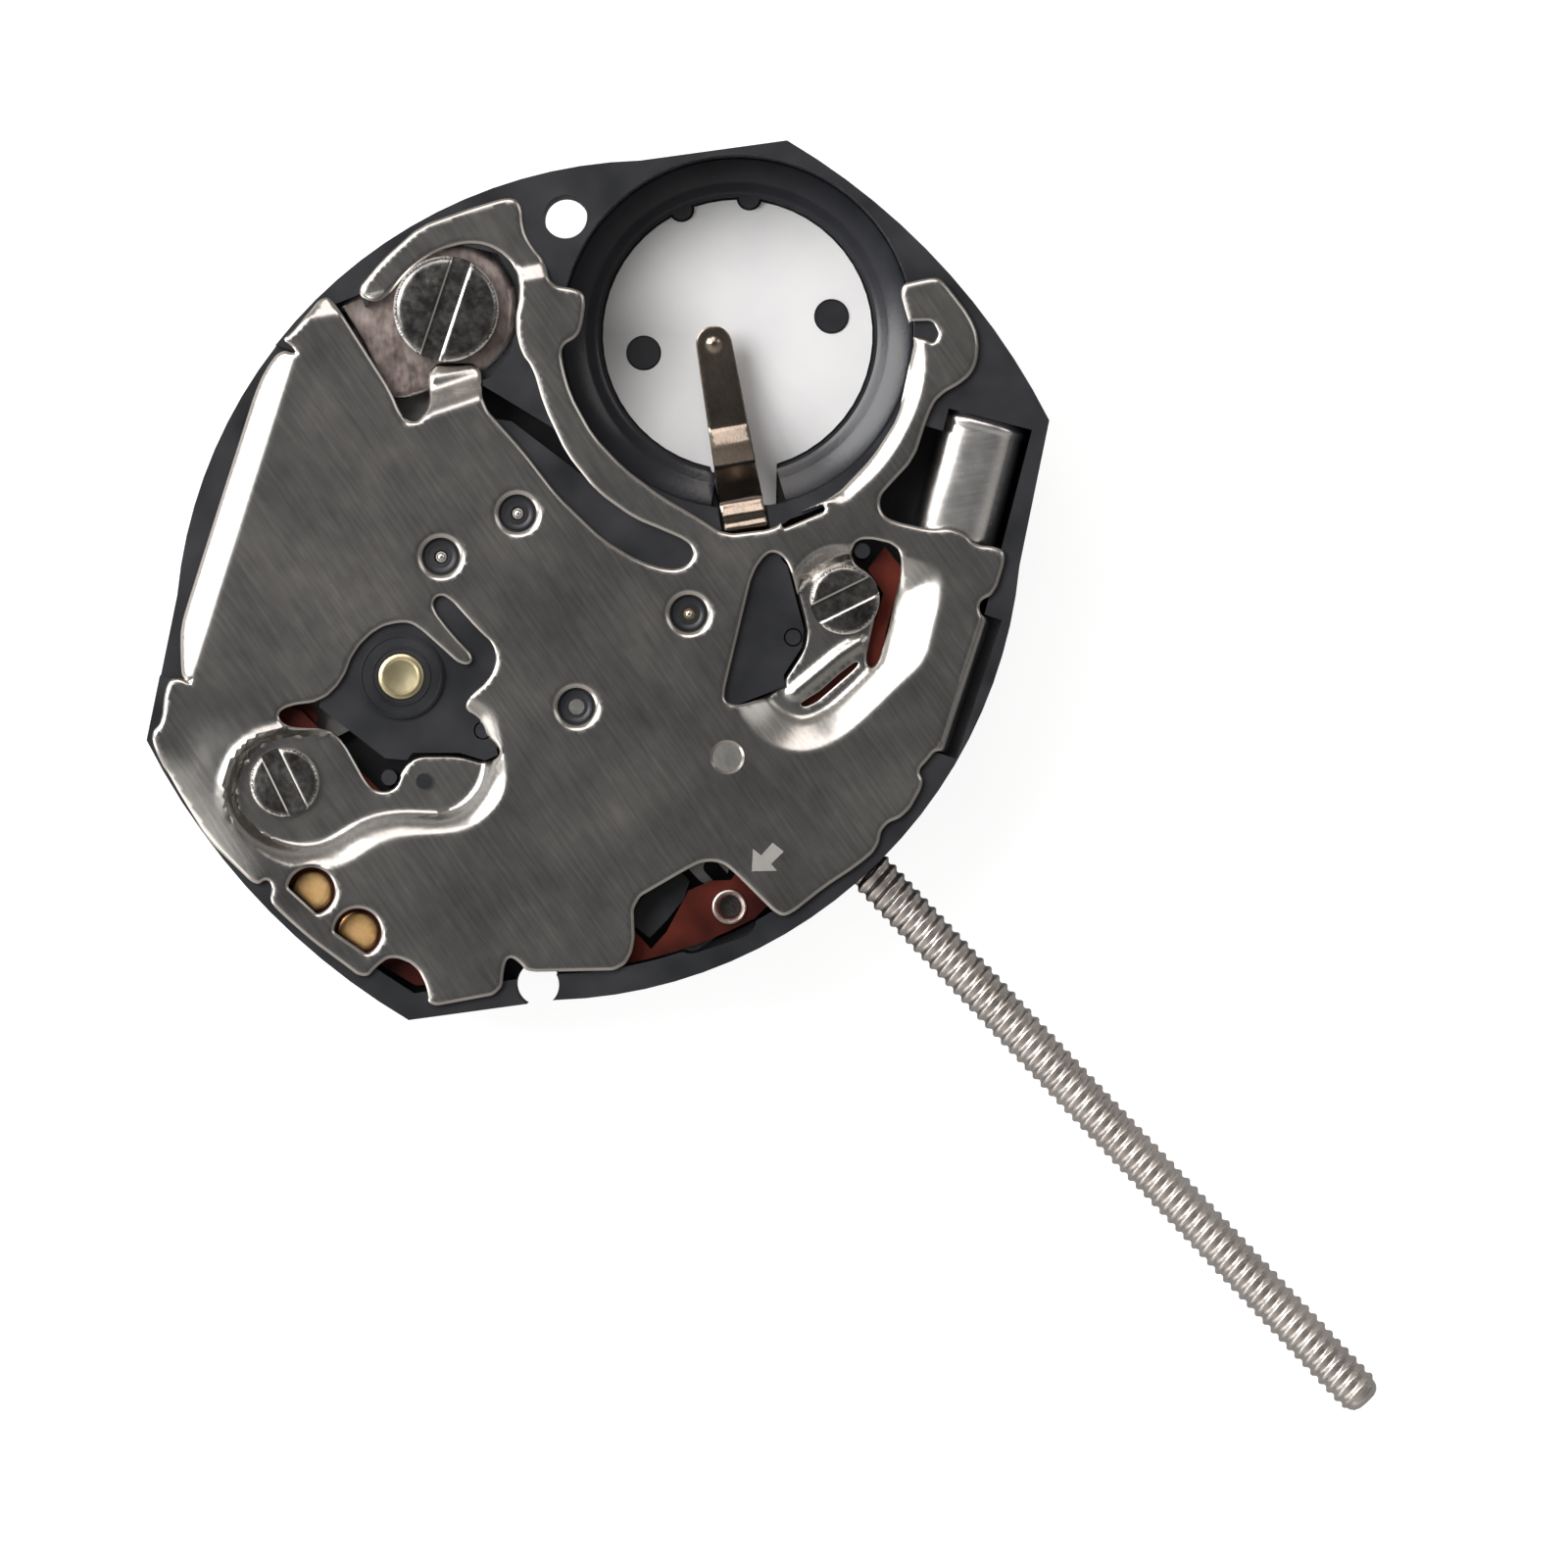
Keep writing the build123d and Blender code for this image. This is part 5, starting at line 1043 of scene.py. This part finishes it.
# Minus strip of the battery
def minus_strip():
    """Spring strip that runs down into the well, with a rounded tip and a pressed point."""
    strip_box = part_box("battery_minus_strip")
    root = np.array([0.172 * HALF_WIDTH, 0.300 * HALF_LENGTH])
    tip = np.array([-0.277 * HALF_WIDTH, 0.552 * HALF_LENGTH])
    length = float(np.hypot(*(tip - root)))
    along = (tip - root) / length
    side = np.array([-along[1], along[0]])
    root_half, tip_half = 0.44, 0.35
    plan = [(0, -root_half), (length - tip_half, -tip_half)]
    plan += [on_circle((length - tip_half, 0), tip_half, 15 * step - 90) for step in range(1, 12)]
    plan += [(length - tip_half, tip_half), (0, root_half)]
    outline = [tuple(root + a * along + b * side) for a, b in plan]
    knots = np.array([0, 0.10, 0.16, 0.25, 0.34, 0.43, 0.52, 0.66, 0.80, 1.0]) * length
    heights = np.array([1, 1, 0.97, 0.68, 0.37, 0.19, 0.08, 0.10, 0.14, 0.20])
    low = strip_box[0].z / MM + THIN_SHEET
    rise = strip_box[1].z / MM - low
    # Place along the strip, half width and lift of each fold
    folds = ((0.16, 0.12, 0.04), (0.42, 0.10, 0.03))
    point_inset, point_radius, point_fall, point_lift = 0.36, 0.17, 0.12, 0.05

    def height(points):
        gap = points - root
        run = gap @ along
        level = low + rise * np.interp(run, knots, heights)
        for place, half, lift in folds:
            level += lift * ease(1 - np.abs(run - place) / half)
        away = np.hypot(run - (length - point_inset), gap @ side)
        return level + point_lift * ease((point_radius - away) / point_fall)

    loops = [(resampled(outline, 0.05), 0.02)]
    return formed_sheet("minus_strip", loops, height, [STRIP, STRIP], thickness=THIN_SHEET, spacing=0.07)


put(minus_strip(), "dark_spring_steel", "battery_minus_strip")


# Pivots in the dished holes of the bridge
def oil_sink(name, place):
    section = [(0.0, 0.33), (0.02, 0.31), (0.02, 0.27), (0.0, 0.22), (-0.02, 0.22), (-0.02, 0.33)]
    return band(f"oil_sink_{name}", section, 40, (*place, BRIDGE_TOP), [BLACK])


def pivot_tip(name, place):
    profile = [(-0.12, 0.08), (-0.03, 0.08), (-0.008, 0.065), (0.004, 0.035), (0.008, 0.01)]
    return turned(f"pivot_tip_{name}", profile, 24, (*place, BRIDGE_TOP), [PIVOT])


for name, place in cover_places.items():
    put(oil_sink(name, place), "black_moulding")
    if name != "minute":
        put(pivot_tip(name, place), "polished_steel", body=f"{name}_wheel_body")


# Brass bush of the rotor, and the two rings of its boss
bush_low, bush_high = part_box("rotor_bush")
boss_place = ((bush_low.x + bush_high.x) / 2 / MM, (bush_low.y + bush_high.y) / 2 / MM)


def rotor_bush():
    radius = (bush_high.x - bush_low.x) / 2 / MM
    top = (bush_high.z - bush_low.z) / MM
    profile = [
        (0, radius - 0.04), (0.04, radius), (top - 0.05, radius), (top - 0.015, radius - 0.03),
        (top, radius - 0.07), (top, radius - 0.11), (top - 0.03, radius - 0.15), (top - 0.045, 0.16),
        (top - 0.05, 0.06), (top - 0.05, 0.01),
    ]
    place = (*boss_place, bush_low.z / MM)
    return turned("rotor_bush_turned", profile, 64, place, [BUSH], "Z", 24.0)


def boss_ring(label, inner, outer):
    height, bevel = 0.022, 0.012
    section = [
        (0.0, outer), (height, outer - bevel), (height, inner + bevel), (0.0, inner), (-0.02, inner),
        (-0.02, outer),
    ]
    return band(f"boss_ring_{label}", section, 64, (*boss_place, BOSS_TOP), [BLACK])


put(rotor_bush(), "bush_brass", "rotor_bush")
put(boss_ring("inner", 0.53, 0.58), "black_moulding")
put(boss_ring("outer", 0.75, 0.80), "black_moulding")


# Eyelet of the board over the setting lever's dimple
def board_eyelet():
    section = [
        (0.0, 0.35), (0.035, 0.33), (0.045, 0.30), (0.02, 0.25), (0.0, 0.23), (-0.02, 0.23), (-0.02, 0.35),
    ]
    return band("board_eyelet", section, 40, (6.34, -2.46, BOARD_TOP), [NICKEL])


put(board_eyelet(), "nickel_sheet")


# Etched arrow beside the stem opening
def arrow():
    points = [
        (5.83, -1.36), (6.13, -1.67), (6.45, -1.31), (6.28, -1.30), (6.27, -0.96), (6.00, -1.00),
        (6.03, -1.33),
    ]
    count = len(points)
    vertices = [(x, y, level) for level in (COVER_TOP + 0.004, COVER_TOP - 0.01) for x, y in points]
    faces = [list(range(count)), list(range(count, 2 * count))[::-1]]
    faces += [[i, i + count, (i + 1) % count + count, (i + 1) % count] for i in range(count)]
    return make_object("arrow_mark", vertices, faces, [ETCHED])


put(arrow(), "cover_steel")


# Light and camera
scene = bpy.context.scene
scene.view_settings.view_transform = "Standard"
image_right = Vector((0.6835, 0.7299, 0))
image_up = Vector((-0.7299, 0.6835, 0))
FRAME_PIXELS = 1600
PIXELS_PER_MM = 52.9
frame_centre = (5.325, -0.066)


def camera_choice(tree, plain, seen):
    """The plain shader, or for camera rays the other one."""
    path = add_node(tree, "LightPath")
    links = {0: path.outputs["Is Camera Ray"], 1: plain.outputs[0], 2: seen.outputs[0]}
    return add_node(tree, "MixShader", links=links).outputs[0]


def studio_world():
    """Pale below, dim at middle height, dark above and brighter on one side. Camera rays see white."""
    world = bpy.data.worlds.new("studio")
    scene.world = world
    world.use_nodes = True
    tree = world.node_tree
    tree.nodes.clear()
    out = add_node(tree, "OutputWorld")
    direction = add_node(tree, "TexCoord").outputs["Generated"]
    split = add_node(tree, "SeparateXYZ", links={0: direction})
    tones = [
        (0.00, (0.92, 0.92, 0.92)), (0.20, (0.80, 0.79, 0.78)), (0.42, (0.40, 0.36, 0.33)),
        (0.66, (0.62, 0.60, 0.58)), (0.84, (0.42, 0.42, 0.41)), (0.93, (0.17, 0.17, 0.17)),
        (1.00, (0.12, 0.12, 0.12)),
    ]
    side = add_node(tree, "VectorMath")
    side.operation = "DOT_PRODUCT"
    side.inputs[1].default_value = (-0.47, -0.88, 0)
    tree.links.new(direction, side.inputs[0])
    strength = map_range(tree, side.outputs["Value"], (-0.8, 0.8), (0.40, 1.35))
    light = {"Color": ramp(tree, split.outputs["Z"], tones), "Strength": strength}
    sky = add_node(tree, "Background", links=light)
    white = add_node(tree, "Background", {"Color": (1, 1, 1, 1)})
    tree.links.new(camera_choice(tree, sky, white), out.inputs[0])


def soft_lamp(name, right, up, height, size, power, tint=(1, 1, 1)):
    """A soft lamp aimed at the origin. right, up, height: millimetres along the image and above it."""
    data = bpy.data.lights.new(name, "AREA")
    data.shape = "DISK"
    data.size = size * MM
    data.energy = power
    data.color = tint
    lamp = bpy.data.objects.new(name, data)
    scene.collection.objects.link(lamp)
    lamp.location = (image_right * right + image_up * up) * MM + Vector((0, 0, height * MM))
    lamp.rotation_euler = (-lamp.location).to_track_quat("-Z", "Y").to_euler()


def pale_floor():
    """A grey floor that glows for camera rays only, so it looks white and keeps the soft shadow."""
    mesh = bpy.data.meshes.new("floor")
    reach = 1.5
    corners = [(-reach, -reach, 0), (reach, -reach, 0), (reach, reach, 0), (-reach, reach, 0)]
    mesh.from_pydata(corners, [], [(0, 1, 2, 3)])
    floor = bpy.data.objects.new("floor", mesh)
    scene.collection.objects.link(floor)
    gap = 0.02
    floor.location.z = cad_box[0].z - gap * MM
    mat, tree, shader = new_material("floor_white")
    shader.inputs["Base Color"].default_value = (0.36, 0.36, 0.36, 1)
    shader.inputs["Roughness"].default_value = 0.9
    glow = add_node(tree, "Emission", {"Strength": 0.86})
    glowing = add_node(tree, "AddShader", links={0: shader.outputs[0], 1: glow.outputs[0]})
    out = tree.nodes["Material Output"]
    tree.links.new(camera_choice(tree, shader, glowing), out.inputs[0])
    mesh.materials.append(mat)


def camera_above():
    """A long lens straight above, turned as the photograph is."""
    data = bpy.data.cameras.new("camera")
    camera = bpy.data.objects.new("camera", data)
    scene.collection.objects.link(camera)
    scene.camera = camera
    centre = Vector((*frame_centre, COVER_TOP)) * MM
    distance = 0.30
    frame_width = FRAME_PIXELS / PIXELS_PER_MM * MM
    data.sensor_width = 36
    data.lens = data.sensor_width * distance / frame_width
    data.clip_start = 0.01
    data.clip_end = 5
    turn = Matrix((image_right, image_up, Vector((0, 0, 1)))).transposed()
    camera.matrix_world = Matrix.Translation(centre + Vector((0, 0, distance))) @ turn.to_4x4()


studio_world()
soft_lamp("key", -125, 65, 175, 150, 0.36)
soft_lamp("side", -170, -70, 95, 110, 0.06)
soft_lamp("fill", 120, 60, 130, 90, 0.02)
soft_lamp("upper", -10, 125, 175, 100, 0.07, (1.0, 0.93, 0.90))
pale_floor()
camera_above()
